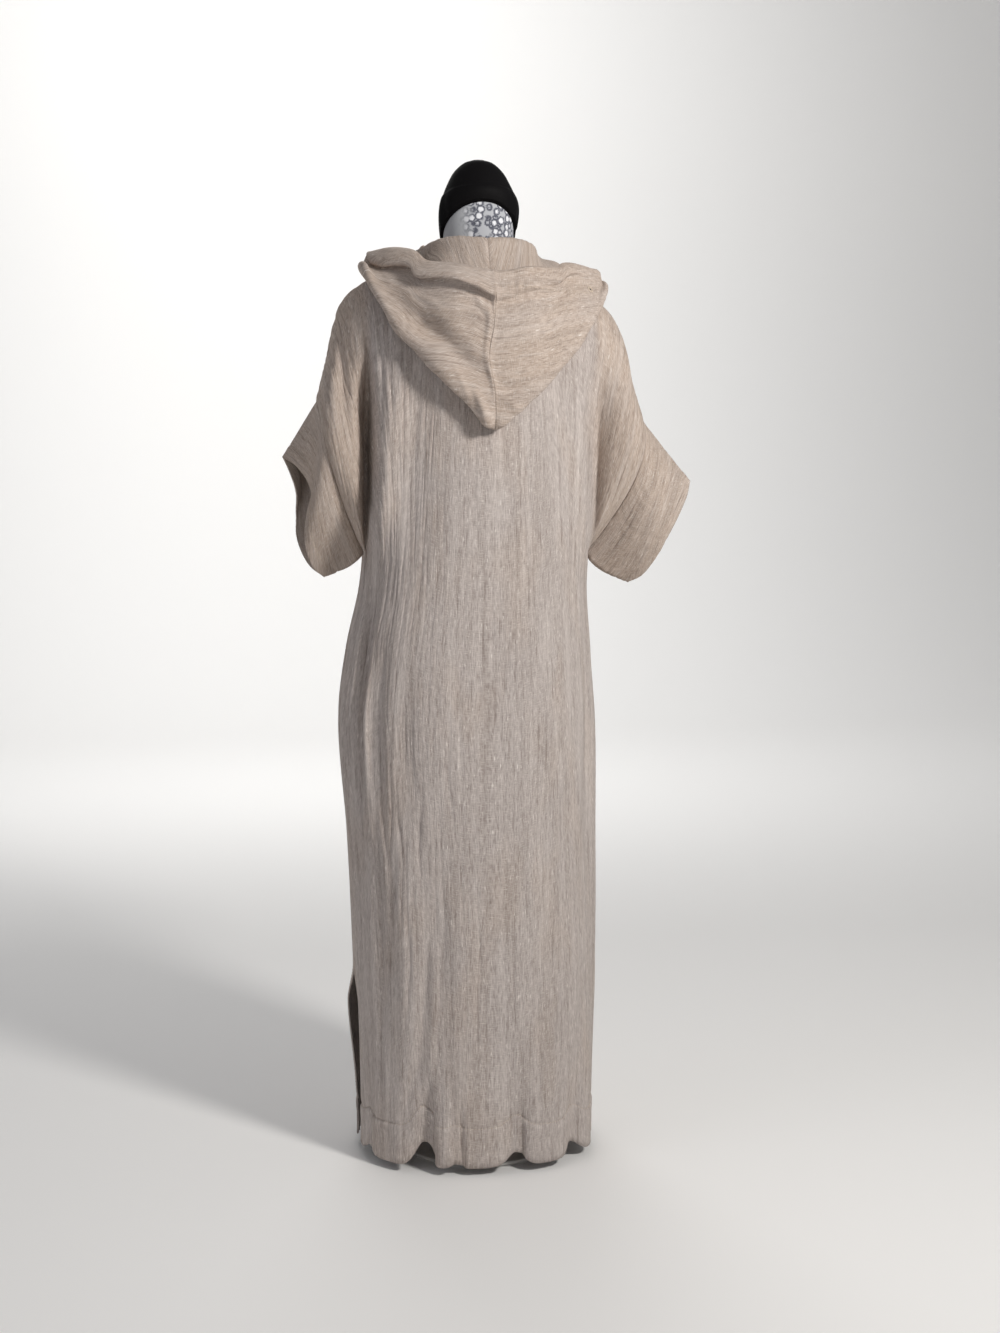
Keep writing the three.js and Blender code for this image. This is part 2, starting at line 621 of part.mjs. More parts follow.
// Half of the hood, from the centre front round the side of the neck to the centre back
function hoodGrid(side) {
  const stations = hoodStations[side];
  const nets = stations.map((station) => hoodKeys(side, station));
  const tables = nets[0].map((_, k) =>
    stations.map(({ at }, i) => ({ at, x: nets[i][k].x, y: nets[i][k].y, z: nets[i][k].z })),
  );
  const steps = [0];
  hoodRowsBetween.forEach((count, k) => {
    for (let i = 1; i <= count; i++) steps.push((k + i / count) / (tables.length - 1));
  });
  const profile = (at, start) => {
    const keys = tables.map((table) => ["x", "y", "z"].map((axis) => read(table, "at", at, axis)));
    const curve = new THREE.CatmullRomCurve3(keys.map((key) => new THREE.Vector3(...key)));
    const points = steps.map((step) => curve.getPoint(step));
    points[0] = start;
    if (at === 0 || at === 2) for (const point of points) point.x = 0;
    return points;
  };
  const sign = side === "left" ? 1 : -1;
  const start = (face, column) => overBody(face, sign * column, 0, hoodSeamLift);
  const lines = [];
  for (let i = 0; i <= hoodFrontColumns; i++) {
    const share = i / hoodFrontColumns;
    lines.push(profile(2 - share, start("front", share * frontNeckColumns)));
  }
  for (let i = hoodBackColumns - 1; i >= 0; i--) {
    const share = i / hoodBackColumns;
    lines.push(profile(share, start("back", share * backNeckColumns)));
  }
  return side === "right" ? lines.reverse() : lines;
}

// The cloth pieces. sewn names the edges that a seam holds, and so stand back from it.
const hemFrom = topRows + skirtRows + slitRows;
const pieces = [
  { name: "back_panel", points: bodyGrid("back"), sewn: ["first", "last", "top"], hemFrom },
  { name: "front_panel", points: bodyGrid("front").reverse(), sewn: ["first", "last", "top"], hemFrom },
  { name: "sleeve_left", points: sleeveGrid("left"), sewn: ["top"], round: true },
  { name: "sleeve_right", points: sleeveGrid("right").reverse(), sewn: ["top"], round: true },
  { name: "hood_left", points: hoodGrid("left"), sewn: ["first", "last"] },
  { name: "hood_right", points: hoodGrid("right"), sewn: ["first", "last"] },
];

const keyOf = (p) => [p.x, p.y, p.z].map((v) => Math.round(v / seamSearch)).join();

// The direction of one piece's surface at each of its points
function ownNormals({ points }) {
  const normals = new Map();
  for (let i = 0; i < points.length - 1; i++)
    for (let j = 0; j < points[0].length - 1; j++) {
      const corners = [points[i][j], points[i][j + 1], points[i + 1][j + 1], points[i + 1][j]];
      const face = corners[2].clone().sub(corners[0]).cross(corners[3].clone().sub(corners[1]));
      for (const corner of corners) {
        const key = keyOf(corner);
        if (!normals.has(key)) normals.set(key, new THREE.Vector3());
        normals.get(key).add(face);
      }
    }
  for (const normal of normals.values()) normal.normalize();
  return normals;
}

// The direction that leans least from any of several, so that a wall's edge mitres with the next
function between(directions) {
  const middle = new THREE.Vector3();
  for (const direction of directions) middle.add(direction);
  middle.normalize();
  for (let k = 0; k < 30; k++) {
    const worst = directions.reduce((a, b) => (a.dot(middle) < b.dot(middle) ? a : b));
    middle.addScaledVector(worst, 0.1).normalize();
  }
  return middle;
}

// At each point, a direction that all pieces sewn there share, and how far the wall's face stands
// along it for each unit of thickness
function sharedNormals() {
  const all = new Map();
  for (const piece of pieces)
    for (const [key, normal] of ownNormals(piece)) all.set(key, [...(all.get(key) ?? []), normal]);
  const shared = new Map();
  for (const [key, directions] of all) {
    const direction = directions.length > 1 ? between(directions) : directions[0];
    const lean = Math.min(...directions.map((own) => own.dot(direction)));
    shared.set(key, { direction, reach: 1 / Math.max(lean, mitreLimit) });
  }
  return shared;
}

// Moves a sewn edge's points into their own piece, until the two walls' ends are a seam gap apart
function drawBack(points, sewn, round, normals) {
  const [lastColumn, lastRow] = [points.length - 1, points[0].length - 1];
  const step = (from, to) => {
    const way = to.clone().sub(from).normalize();
    const slope = Math.sqrt(1 - way.dot(normals.get(keyOf(from)).direction) ** 2);
    return way.multiplyScalar((seamGap * half) / Math.max(slope, mitreLimit));
  };
  return grid(lastColumn, lastRow, (i, j) => {
    const point = points[i][j].clone();
    if (!round && i === 0 && sewn.includes("first")) point.add(step(points[0][j], points[1][j]));
    if (!round && i === lastColumn && sewn.includes("last"))
      point.add(step(points[i][j], points[i - 1][j]));
    if (j === 0 && sewn.includes("top")) point.add(step(points[i][0], points[i][1]));
    return point;
  });
}

// A closed wall round a grid of middle points
function wallGeometry(piece, normals) {
  const { points, sewn, round = false, hemFrom = Infinity } = piece;
  const middle = drawBack(points, sewn, round, normals);
  const columns = round ? points.length - 1 : points.length;
  const rows = points[0].length;
  const position = [];
  for (const side of [1, -1])
    for (let i = 0; i < columns; i++)
      for (let j = 0; j < rows; j++) {
        const thickness = j >= hemFrom && side < 0 ? hemWall - clothWall * half : clothWall * half;
        const { direction, reach } = normals.get(keyOf(points[i][j]));
        const p = middle[i][j].clone().addScaledVector(direction, side * thickness * reach);
        position.push(p.x, p.y, p.z);
      }
  const layer = columns * rows;
  const at = (side, i, j) => side * layer + (i % columns) * rows + j;
  const index = [];
  const quad = (a, b, c, d) => index.push(a, b, c, a, c, d);
  // The end of a wall. Its diagonal starts at the higher outer corner, so that both sides of a
  // seam are cut alike.
  const end = (a, b, innerB, innerA) => {
    if (position[3 * a + 2] > position[3 * b + 2]) quad(a, b, innerB, innerA);
    else quad(b, innerB, innerA, a);
  };
  const steps = round ? columns : columns - 1;
  for (let i = 0; i < steps; i++) {
    for (let j = 0; j < rows - 1; j++) {
      quad(at(0, i, j), at(0, i, j + 1), at(0, i + 1, j + 1), at(0, i + 1, j));
      quad(at(1, i, j), at(1, i + 1, j), at(1, i + 1, j + 1), at(1, i, j + 1));
    }
    end(at(0, i, 0), at(0, i + 1, 0), at(1, i + 1, 0), at(1, i, 0));
    end(at(0, i + 1, rows - 1), at(0, i, rows - 1), at(1, i, rows - 1), at(1, i + 1, rows - 1));
  }
  if (!round)
    for (let j = 0; j < rows - 1; j++) {
      const last = columns - 1;
      end(at(0, 0, j + 1), at(0, 0, j), at(1, 0, j), at(1, 0, j + 1));
      end(at(0, last, j), at(0, last, j + 1), at(1, last, j + 1), at(1, last, j));
    }
  return geometryOf(position, index);
}

function geometryOf(position, index) {
  const geometry = new THREE.BufferGeometry();
  geometry.setAttribute("position", new THREE.Float32BufferAttribute(position, 3));
  geometry.setIndex(index);
  geometry.computeVertexNormals();
  return geometry;
}

// A closed solid through a stack of loops, lowest first, each with the same number of points
function loftGeometry(loops) {
  const count = loops[0].length;
  const position = [];
  const index = [];
  for (const loop of loops) for (const p of loop) position.push(p.x, p.y, p.z);
  const sumOf = (loop) => loop.reduce((sum, p) => sum.add(p), new THREE.Vector3());
  const centreOf = (loop) => sumOf(loop).divideScalar(count);
  for (const loop of [loops[0], loops[loops.length - 1]]) position.push(...centreOf(loop));
  const [bottom, top] = [loops.length * count, loops.length * count + 1];
  for (let j = 0; j < loops.length - 1; j++)
    for (let i = 0; i < count; i++) {
      const [a, b] = [j * count + i, j * count + ((i + 1) % count)];
      index.push(a, b, b + count, a, b + count, a + count);
    }
  const last = (loops.length - 1) * count;
  for (let i = 0; i < count; i++) {
    index.push(bottom, (i + 1) % count, i);
    index.push(top, last + i, last + ((i + 1) % count));
  }
  return geometryOf(position, index);
}

// One level loop of the form
function formLoop(ring, turns, slope = 0, y = 0) {
  return Array.from({ length: turns }, (_, i) => {
    const angle = (2 * Math.PI * i) / turns;
    const [c, s] = [Math.cos(angle), Math.sin(angle)];
    const depth = s > 0 ? ring.back : ring.front;
    const across = depth * boxy(s, ring.power);
    return new THREE.Vector3(ring.half * boxy(c, ring.power), y + across, ring.z + slope * across);
  });
}

// Torso and neck in one smooth shell, with the neck's top cut on a slope that rises to the back
function formTorso() {
  const loops = formRings.map((ring) => formLoop(ring, formTurns, ring.slope));
  for (let i = 0; i <= neck.rings; i++) {
    const share = i / neck.rings;
    const ring = {
      z: lerp(neck.baseZ, neck.topZ, share),
      half: neck.half,
      back: neck.depth,
      front: neck.depth,
      power: 2,
    };
    loops.push(formLoop(ring, formTurns, lerp(neck.baseSlope, neck.slope, share), neck.y));
  }
  return loftGeometry(loops);
}

// The cap that closes the neck, and the turned knob on it
function neckCap() {
  const loops = capRings.map(({ rise, r, slope }) => {
    const z = neck.topZ + standGap / Math.cos(Math.atan(neck.slope)) + rise;
    const ring = { z, half: r, back: r - 2, front: r - 2, power: 2 };
    return formLoop(ring, formTurns, slope, neck.y);
  });
  return loftGeometry(loops);
}

// A turned solid from a profile of radius and height, closed on its axis
function turned(profile) {
  const geometry = new THREE.LatheGeometry(
    profile.map(([r, z]) => new THREE.Vector2(r, z)),
    roundTurns,
  );
  geometry.rotateX(Math.PI / 2);
  geometry.deleteAttribute("uv");
  geometry.deleteAttribute("normal");
  return geometry;
}

function standBase() {
  const { r, edge, thickness, hubR, hubHeight, chamfer } = base;
  return turned([
    [0, 0],
    [r - chamfer, 0],
    [r, chamfer],
    [r, edge],
    [r - chamfer, edge + 1],
    [hubR + chamfer, thickness],
    [hubR, thickness + chamfer],
    [hubR, hubHeight],
    [0, hubHeight],
  ]);
}

function standPole() {
  const foot = base.hubHeight + standGap;
  const top = formRings[0].z - standGap;
  const { r, flangeR, flangeHeight } = pole;
  return turned([
    [0, foot],
    [r, foot],
    [r, top - flangeHeight],
    [flangeR, top - flangeHeight],
    [flangeR, top],
    [0, top],
  ]);
}

const kaftan = new THREE.Group();

function add(name, geometry, finish) {
  const mesh = new THREE.Mesh(geometry, new THREE.MeshStandardMaterial(finish));
  mesh.name = name;
  kaftan.add(mesh);
}

const normals = sharedNormals();
for (const piece of pieces) add(piece.name, wallGeometry(piece, normals), linen);
add("form_torso", formTorso(), formCover);
add("form_neck_cap", neckCap(), blackCover);
add("stand_pole", standPole(), paintedSteel);
add("stand_base", standBase(), paintedSteel);

export default kaftan;
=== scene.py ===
import math

import bpy
import numpy as np
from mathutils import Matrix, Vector


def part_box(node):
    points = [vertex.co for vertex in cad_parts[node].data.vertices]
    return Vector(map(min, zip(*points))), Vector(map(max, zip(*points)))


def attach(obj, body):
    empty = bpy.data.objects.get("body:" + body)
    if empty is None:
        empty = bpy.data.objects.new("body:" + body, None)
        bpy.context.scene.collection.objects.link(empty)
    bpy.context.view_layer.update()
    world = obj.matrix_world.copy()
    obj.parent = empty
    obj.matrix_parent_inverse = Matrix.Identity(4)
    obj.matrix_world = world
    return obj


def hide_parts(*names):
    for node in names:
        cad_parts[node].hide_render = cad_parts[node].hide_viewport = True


# A hooded kaftan of crinkled linen gauze on a limbless dress form. The lengths below are millimetres,
# +Z is up, the garment's back faces +Y and the wearer's left is +X. Meshes are made in metres.

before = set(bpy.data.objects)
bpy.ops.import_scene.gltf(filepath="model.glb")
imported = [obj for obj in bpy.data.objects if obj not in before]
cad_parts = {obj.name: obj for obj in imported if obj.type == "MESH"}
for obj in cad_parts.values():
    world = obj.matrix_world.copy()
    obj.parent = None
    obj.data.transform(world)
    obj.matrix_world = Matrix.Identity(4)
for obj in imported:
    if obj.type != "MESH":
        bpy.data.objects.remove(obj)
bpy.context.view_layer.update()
mm = 0.001
farAway = 1e9  # a distance that is never the least


# Small formulas

def ease(start, end, value):
    # rises smoothly from 0 at start to 1 at end: three t squared less two t cubed
    t = np.clip((value - start) / (end - start), 0, 1)
    return t * t * (3 - 2 * t)


def bell(value, centre, width):
    # e to the minus square of the distance in widths
    return np.exp(-(((value - centre) / width) ** 2))


def bellTurn(turn, centre, width):
    # the same bell on a circle of 360 degrees
    return bell((turn - centre + 180) % 360 - 180, 0, width)


def boxy(share, power):
    # one coordinate of a ring that is boxier than an ellipse
    return np.sign(share) * np.abs(share) ** (2 / power)


def mix(start, end, share):
    return start + (end - start) * share


def hermite(start, slopeIn, end, slopeOut, t):
    # the cubic that leaves start with one slope and meets end with the other
    return (
        (2 * t**3 - 3 * t**2 + 1) * start
        + (t**3 - 2 * t**2 + t) * slopeIn
        + (3 * t**2 - 2 * t**3) * end
        + (t**3 - t**2) * slopeOut
    )


def smoothRead(keys, values, at):
    # reads a table on a cubic through its rows, whose slope at a row joins the rows beside it
    keys, values, at = np.asarray(keys, float), np.asarray(values, float), np.asarray(at, float)
    rows = np.arange(len(keys))
    before, after = np.maximum(rows - 1, 0), np.minimum(rows + 1, len(keys) - 1)
    wide = (...,) + (None,) * (values.ndim - 1)
    slope = (values[after] - values[before]) / (keys[after] - keys[before])[wide]
    at = np.clip(at, keys[0], keys[-1])
    i = np.clip(np.searchsorted(keys, at, side="right") - 1, 0, len(keys) - 2)
    span = (keys[i + 1] - keys[i])[wide]
    t = (at - keys[i])[wide] / span
    return hermite(values[i], slope[i] * span, values[i + 1], slope[i + 1] * span, t)


def throughPoints(points, t):
    # a centripetal Catmull-Rom curve: each stretch counts the square root of its length as time
    points, t = np.asarray(points, float), np.asarray(t, float)
    last = len(points) - 1
    p = np.concatenate([2 * points[:1] - points[1:2], points, 2 * points[-1:] - points[-2:-1]])
    time = np.sqrt(np.linalg.norm(np.diff(p, axis=0), axis=-1, keepdims=True))
    place = np.clip(t, 0, 1) * last
    i = np.minimum(place.astype(int), last - 1)
    share = (place - i)[(...,) + (None,) * (points.ndim - 1)]
    before, start, end, after = p[i], p[i + 1], p[i + 2], p[i + 3]
    a, b, c = time[i], time[i + 1], time[i + 2]
    slopeIn = ((start - before) / a - (end - before) / (a + b) + (end - start) / b) * b
    slopeOut = ((end - start) / b - (after - start) / (b + c) + (after - end) / c) * b
    return hermite(start, slopeIn, end, slopeOut, share)


def evenly(points, share):
    # the place on that curve at a share of its length
    t = np.linspace(0, 1, 201)
    steps = np.linalg.norm(np.diff(throughPoints(points, t), axis=0), axis=1)
    length = np.concatenate([[0], np.cumsum(steps)])
    return throughPoints(points, np.interp(share * length[-1], length, t))


def softNoise(u, v, seed):
    # value noise from -1 to 1: random heights on unit squares, blended with smooth steps
    heights = np.random.default_rng(seed).random((256, 256)) * 2 - 1
    i, j = np.floor(u).astype(int), np.floor(v).astype(int)
    s, t = ease(0, 1, u - i), ease(0, 1, v - j)
    at = lambda a, b: heights[(i + a) % 256, (j + b) % 256]
    return mix(mix(at(0, 0), at(1, 0), s), mix(at(0, 1), at(1, 1), s), t)


# The garment's form

body = {
    "underarmZ": 870, "slitTopZ": 272, "hemTopZ": 68, "hemZ": 12, "ringPower": 2.4,
    "neckColumns": 6, "shoulderColumns": 10, "topRows": 11, "slitRows": 4, "hemRows": 2,
    "fallPower": 1.25, "wingFrom": 0.62, "wingDrop": 2.2,
    "wingSwell": {"back": 62, "front": 54}, "swellPower": 0.85,
    "rowSpread": 1.45, "swing": {"back": 5.5, "front": 3.2}, "foldFull": 0.5, "dentFull": 0.4,
    # z, and how far the left, right, back and front lie from the pole's axis
    "rings": [
        (0, 178, 168, 151, 157), (65, 178, 168, 151, 157), (297, 183, 167, 148, 154),
        (463, 190, 165, 144, 150), (627, 201, 166, 138, 145), (729, 190, 161, 131, 138),
        (811, 172, 156, 128, 133), (870, 166, 158, 127, 130), (1000, 164, 160, 126, 128),
    ],
    "shoulder": {
        "left": [(72, -2, 1290), (118, -6, 1272), (161, -8, 1252), (192, -10, 1226),
                 (207, -12, 1184), (217, -14, 1136), (230, -16, 1083)],
        "right": [(-72, -2, 1286), (-118, -4, 1263), (-160, -4, 1240), (-193, -4, 1212),
                  (-212, -4, 1172), (-221, -4, 1122), (-238, -4, 1064)],
    },
    "neckline": {
        "back": [(57, 38, 1291), (30, 57, 1290), (0, 63, 1289)],
        "front": [(66, -48, 1262), (40, -88, 1226), (0, -110, 1194)],
    },
    "underarmFold": {
        "width": 6, "leftShare": 0.72, "rightShare": 0.3, "top": 1200, "bottom": 760,
        # z, and how far round from the side seam the fold lies there, so that it hangs plumb
        "line": [(870, 13), (900, 18.5), (950, 24.8), (1000, 28.7), (1100, 33), (1200, 36)],
    },
    # turn round the body (0 left, 90 back, 180 right, 270 front), top, bottom, width, depth
    "folds": [
        (26, 860, 500, 5, 13), (34, 830, 430, 5, -5), (41, 760, 480, 5, 8), (57, 720, 500, 5, 4),
        (12, 830, 380, 6, -4), (37, 460, 170, 4, 6), (52, 520, 60, 6, -4), (70, 480, 30, 5, 6),
        (92, 900, 640, 6, 2.5), (112, 620, 120, 7, 4), (128, 520, 90, 7, -4), (148, 800, 330, 6, 5),
        (163, 700, 200, 6, -4), (205, 820, 300, 7, 8), (222, 700, 100, 6, -5), (238, 900, 200, 6, 9),
        (256, 640, 60, 6, -5), (271, 980, 260, 6, 7), (288, 700, 90, 6, -5), (303, 900, 180, 6, 9),
        (320, 620, 60, 7, -5), (335, 820, 330, 7, 8),
    ],
    # turn, width, depth, lift and top of each flute of the hem
    "flutes": [
        (20, 6, 5, 10, 240), (58, 5, 15, 30, 210), (75, 4, 7, 5, 170), (98, 5, 10, 17, 190),
        (134, 7, 12, 16, 220), (162, 6, 7, 12, 240), (184, 9, 4, 11, 230), (206, 6, 9, 12, 220),
        (233, 5, 13, 20, 250), (262, 6, 8, 9, 180), (291, 5, 13, 18, 230), (322, 6, 9, 12, 220),
        (346, 5, 6, 8, 200),
    ],
    "slit": {"turn": 3.2, "full": 60, "backIn": 3, "frontOut": 10, "outAt": 215, "outRange": 90,
             "edgeFrom": 0.8},
}
halfColumns = body["neckColumns"] + body["shoulderColumns"]
skirtRows = 11
lastRow = body["topRows"] + skirtRows + body["slitRows"] + body["hemRows"]
hemRow = lastRow - body["hemRows"]
flipX = np.array([-1, 1, 1])


def faceSign(face):
    return 1 if face == "back" else -1


def foldPush(turn, z):
    # each fold's depth, times a parabola along it and a bell across it
    push = 0
    for at, top, bottom, width, depth in body["folds"]:
        along = np.clip(1 - ((z - (top + bottom) / 2) / ((top - bottom) / 2)) ** 2, 0, 1)
        push = push + depth * along * bellTurn(turn, at, width)
    return push


def flutePush(turn, z):
    # each flute's depth, which grows from its top down to the hem, times a bell across it
    push = 0
    for at, width, depth, lift, top in body["flutes"]:
        push = push + depth * ease(top, body["hemZ"], z) * bellTurn(turn, at, width)
    return push


def hemWave(turn):
    wave = 0
    for at, width, depth, lift, top in body["flutes"]:
        wave = wave + lift * bellTurn(turn, at, width)
    return wave


def foldIn(turn, z):
    # what the fold under the arm leaves of a point's distance from the middle plane
    fold = body["underarmFold"]
    place = smoothRead(*np.array(fold["line"], float).T, z)
    near = lambda seam: np.maximum(
        bellTurn(turn, seam + place, fold["width"]), bellTurn(turn, seam - place, fold["width"]))
    middle = (fold["top"] + fold["bottom"]) / 2
    along = np.clip(1 - ((z - middle) / (fold["top"] - middle)) ** 2, 0, 1)
    return 1 - along * np.maximum(fold["leftShare"] * near(0), fold["rightShare"] * near(180))


def skirtPoint(turn, z, outwards=0):
    # a superellipse whose half-axes are read from the rings, less the folds and flutes there
    turn, z = np.broadcast_arrays(np.asarray(turn, float), np.asarray(z, float))
    table = np.array(body["rings"], float)
    sizes = smoothRead(table[:, 0], table[:, 1:], z)
    c, s = np.cos(np.radians(turn)), np.sin(np.radians(turn))
    across = np.where(c > 0, sizes[..., 0], sizes[..., 1])
    depth = np.where(s > 0, sizes[..., 2], sizes[..., 3])
    push = outwards - foldPush(turn, z) - flutePush(turn, z)
    x = across * boxy(c, body["ringPower"]) + push * c
    y = depth * boxy(s, body["ringPower"]) * foldIn(turn, z) + push * s
    return np.stack([x, y, z], axis=-1)


def columnStart(face, column):
    # columns inside the neck start on the neckline's curve, and the others on the shoulder's
    out = np.abs(column)
    start = 0
    for side, sign in (("left", 1), ("right", -1)):
        mirror = np.array([sign, 1, 1])
        line = np.array(body["neckline"][face]) * mirror
        neck = [body["shoulder"][side][0], *line, line[1] * flipX]
        toCentre = 3 / 4  # the centre is the fourth of that curve's five points
        onNeck = throughPoints(neck, toCentre * (1 - out / body["neckColumns"]))
        onShoulder = evenly(body["shoulder"][side], (out - body["neckColumns"]) / body["shoulderColumns"])
        place = np.where((out < body["neckColumns"])[..., None], onNeck, onShoulder)
        start = start + np.where((column >= 0 if sign > 0 else column < 0)[..., None], place, 0)
    return start


def columnTurn(face, column):
    turn = 90 * (1 - column / halfColumns)
    return turn if face == "back" else 360 - turn


def topPoint(face, column, fall):
    # from the column's start to its place on the underarm ring: down first, then inwards
    column, fall = np.broadcast_arrays(np.asarray(column, float), np.asarray(fall, float))
    start, turn = columnStart(face, column), columnTurn(face, column)
    end = skirtPoint(turn, body["underarmZ"])
    wing = ease(body["wingFrom"], 1, np.abs(column) / halfColumns)
    z = mix(start[..., 2], end[..., 2], fall ** body["fallPower"])
    x = mix(start[..., 0], end[..., 0], fall ** mix(1, body["wingDrop"], wing))
    swung = 1 - (1 - fall) ** body["swing"][face]
    swell = faceSign(face) * body["wingSwell"][face] * wing * np.sin(np.pi * fall ** body["swellPower"])
    unfoldedY = end[..., 1] / foldIn(turn, body["underarmZ"])
    fold = mix(1, foldIn(turn, z), ease(0, body["foldFull"], fall))
    dent = foldPush(turn, z) - foldPush(turn, body["underarmZ"])
    y = (mix(start[..., 1], unfoldedY, swung) + swell) * fold
    y = y - faceSign(face) * dent * ease(0, body["dentFull"], fall)
    return np.stack([x, y, z], axis=-1)


def skirtRowZ(row, turn):
    # rows are level down to the slits, and follow the hem's wave below them
    slitTop, hemTop, hem = body["slitTopZ"], body["hemTopZ"], body["hemZ"]
    inSlit = row - skirtRows
    level = np.where(
        inSlit <= body["slitRows"],
        mix(slitTop, hemTop, inSlit / body["slitRows"]),
        mix(hemTop, hem, (inSlit - body["slitRows"]) / body["hemRows"]),
    )
    waved = level + hemWave(turn) * ease(slitTop, hem, level)
    return np.where(row <= skirtRows, mix(body["underarmZ"], slitTop, row / skirtRows), waved)


def skirtRowPoint(face, column, row):
    # the skirt by column and row, with the slits' edges drawn apart below their tops
    slit, out = body["slit"], np.abs(column) / halfColumns
    turn = columnTurn(face, column)
    z = skirtRowZ(row, turn)
    opened = ease(body["slitTopZ"], body["slitTopZ"] - slit["full"], z)
    turn = turn + faceSign(face) * np.sign(column) * slit["turn"] * opened * out**4
    z = skirtRowZ(row, turn)
    stand = slit["frontOut"] * bell(z, slit["outAt"], slit["outRange"]) * opened
    atEdge = ease(slit["edgeFrom"], 1, out)
    return skirtPoint(turn, z, atEdge * (-slit["backIn"] * opened if face == "back" else stand))


def rowFall(row):
    return (np.clip(row, 0, body["topRows"]) / body["topRows"]) ** body["rowSpread"]


def bodyPoint(face, column, row):
    top = topPoint(face, column, rowFall(row))
    skirt = skirtRowPoint(face, column, np.maximum(row - body["topRows"], 0))
    return np.where((row < body["topRows"])[..., None], top, skirt)


# Sleeves: the cuff's edge from its top corner down the back and down the front to its lowest point

sleeves = {
    "left": {
        "back": [(278, -30, 1004), (257, 0, 988), (240, 15, 956), (247, 22, 922), (250, 16, 882),
                 (238, 0, 848), (222, -12, 834)],
        "front": [(278, -30, 1004), (268, -44, 984), (258, -54, 954), (258, -58, 922), (258, -50, 888),
                  (242, -32, 850), (222, -12, 834)],
        "swell": 8, "sag": 8, "flat": (0.50, 0.10), "area": 0.036, "seed": 37, "clothFrom": 0,
    },
    "right": {
        "back": [(-312, 8, 970), (-301, 28, 946), (-286, 36, 918), (-272, 38, 892), (-257, 32, 862),
                 (-238, 18, 834), (-222, 6, 825)],
        "front": [(-312, 8, 970), (-302, -10, 948), (-287, -22, 920), (-272, -26, 892),
                  (-256, -22, 862), (-238, -8, 834), (-222, 6, 825)],
        "swell": 9, "sag": 12, "flat": (0.52, 0.13), "area": 0.044, "seed": 41, "clothFrom": 600,
    },
    "around": 200, "along": 44, "cuffHem": 20, "hemGroove": 0.8, "hemGrooveWidth": 1.6, "hemTurn": 1,
    "crinkle": 0.8, "calmAtJoin": 12, "warmth": 0.9, "clothAcross": 1000, "clothAround": 0.8,
}


def sleeveHalf(side, face, down, along):
    # straight lines from the armhole to the cuff, swollen in the middle, and sagging at the underarm
    sign = 1 if side == "left" else -1
    armhole = topPoint(face, np.full_like(down, sign * halfColumns), rowFall(down * body["topRows"]))
    cuff = evenly(sleeves[side][face], down)
    point = mix(armhole[:, None], cuff[:, None], along[None, :, None])
    swell = sleeves[side]["swell"] * np.sin(np.pi * down)[:, None] * np.sin(np.pi * along)[None]
    point[..., 1] += faceSign(face) * swell
    point[..., 2] -= sleeves[side]["sag"] * down[:, None] ** 3 * np.sin(np.pi * along**0.6)[None]
    return point


def sleeveGrid(side):
    half = sleeves["around"] // 2
    down = np.arange(half) / half
    along = np.linspace(0, 1, sleeves["along"] + 1)
    back = sleeveHalf(side, "back", down, along)
    front = sleeveHalf(side, "front", 1 - down, along)
    return np.concatenate([back, front])


# The hood, from the centre back (at 0) round the side of the neck (1) to the centre front (2)

# the rows of the stations below that both halves share: the three at the centre front
hoodFront = [
    (1.7, 62, 0.22, 52, 0.11, 23, 20, 10, 2, 0), (1.85, 31, 0.19, 26, 0.09, 21, 19, 10, 2, 0),
    (2, 0, 0.14, 0, 0.06, 20, 18, 10, 2, 0),
]

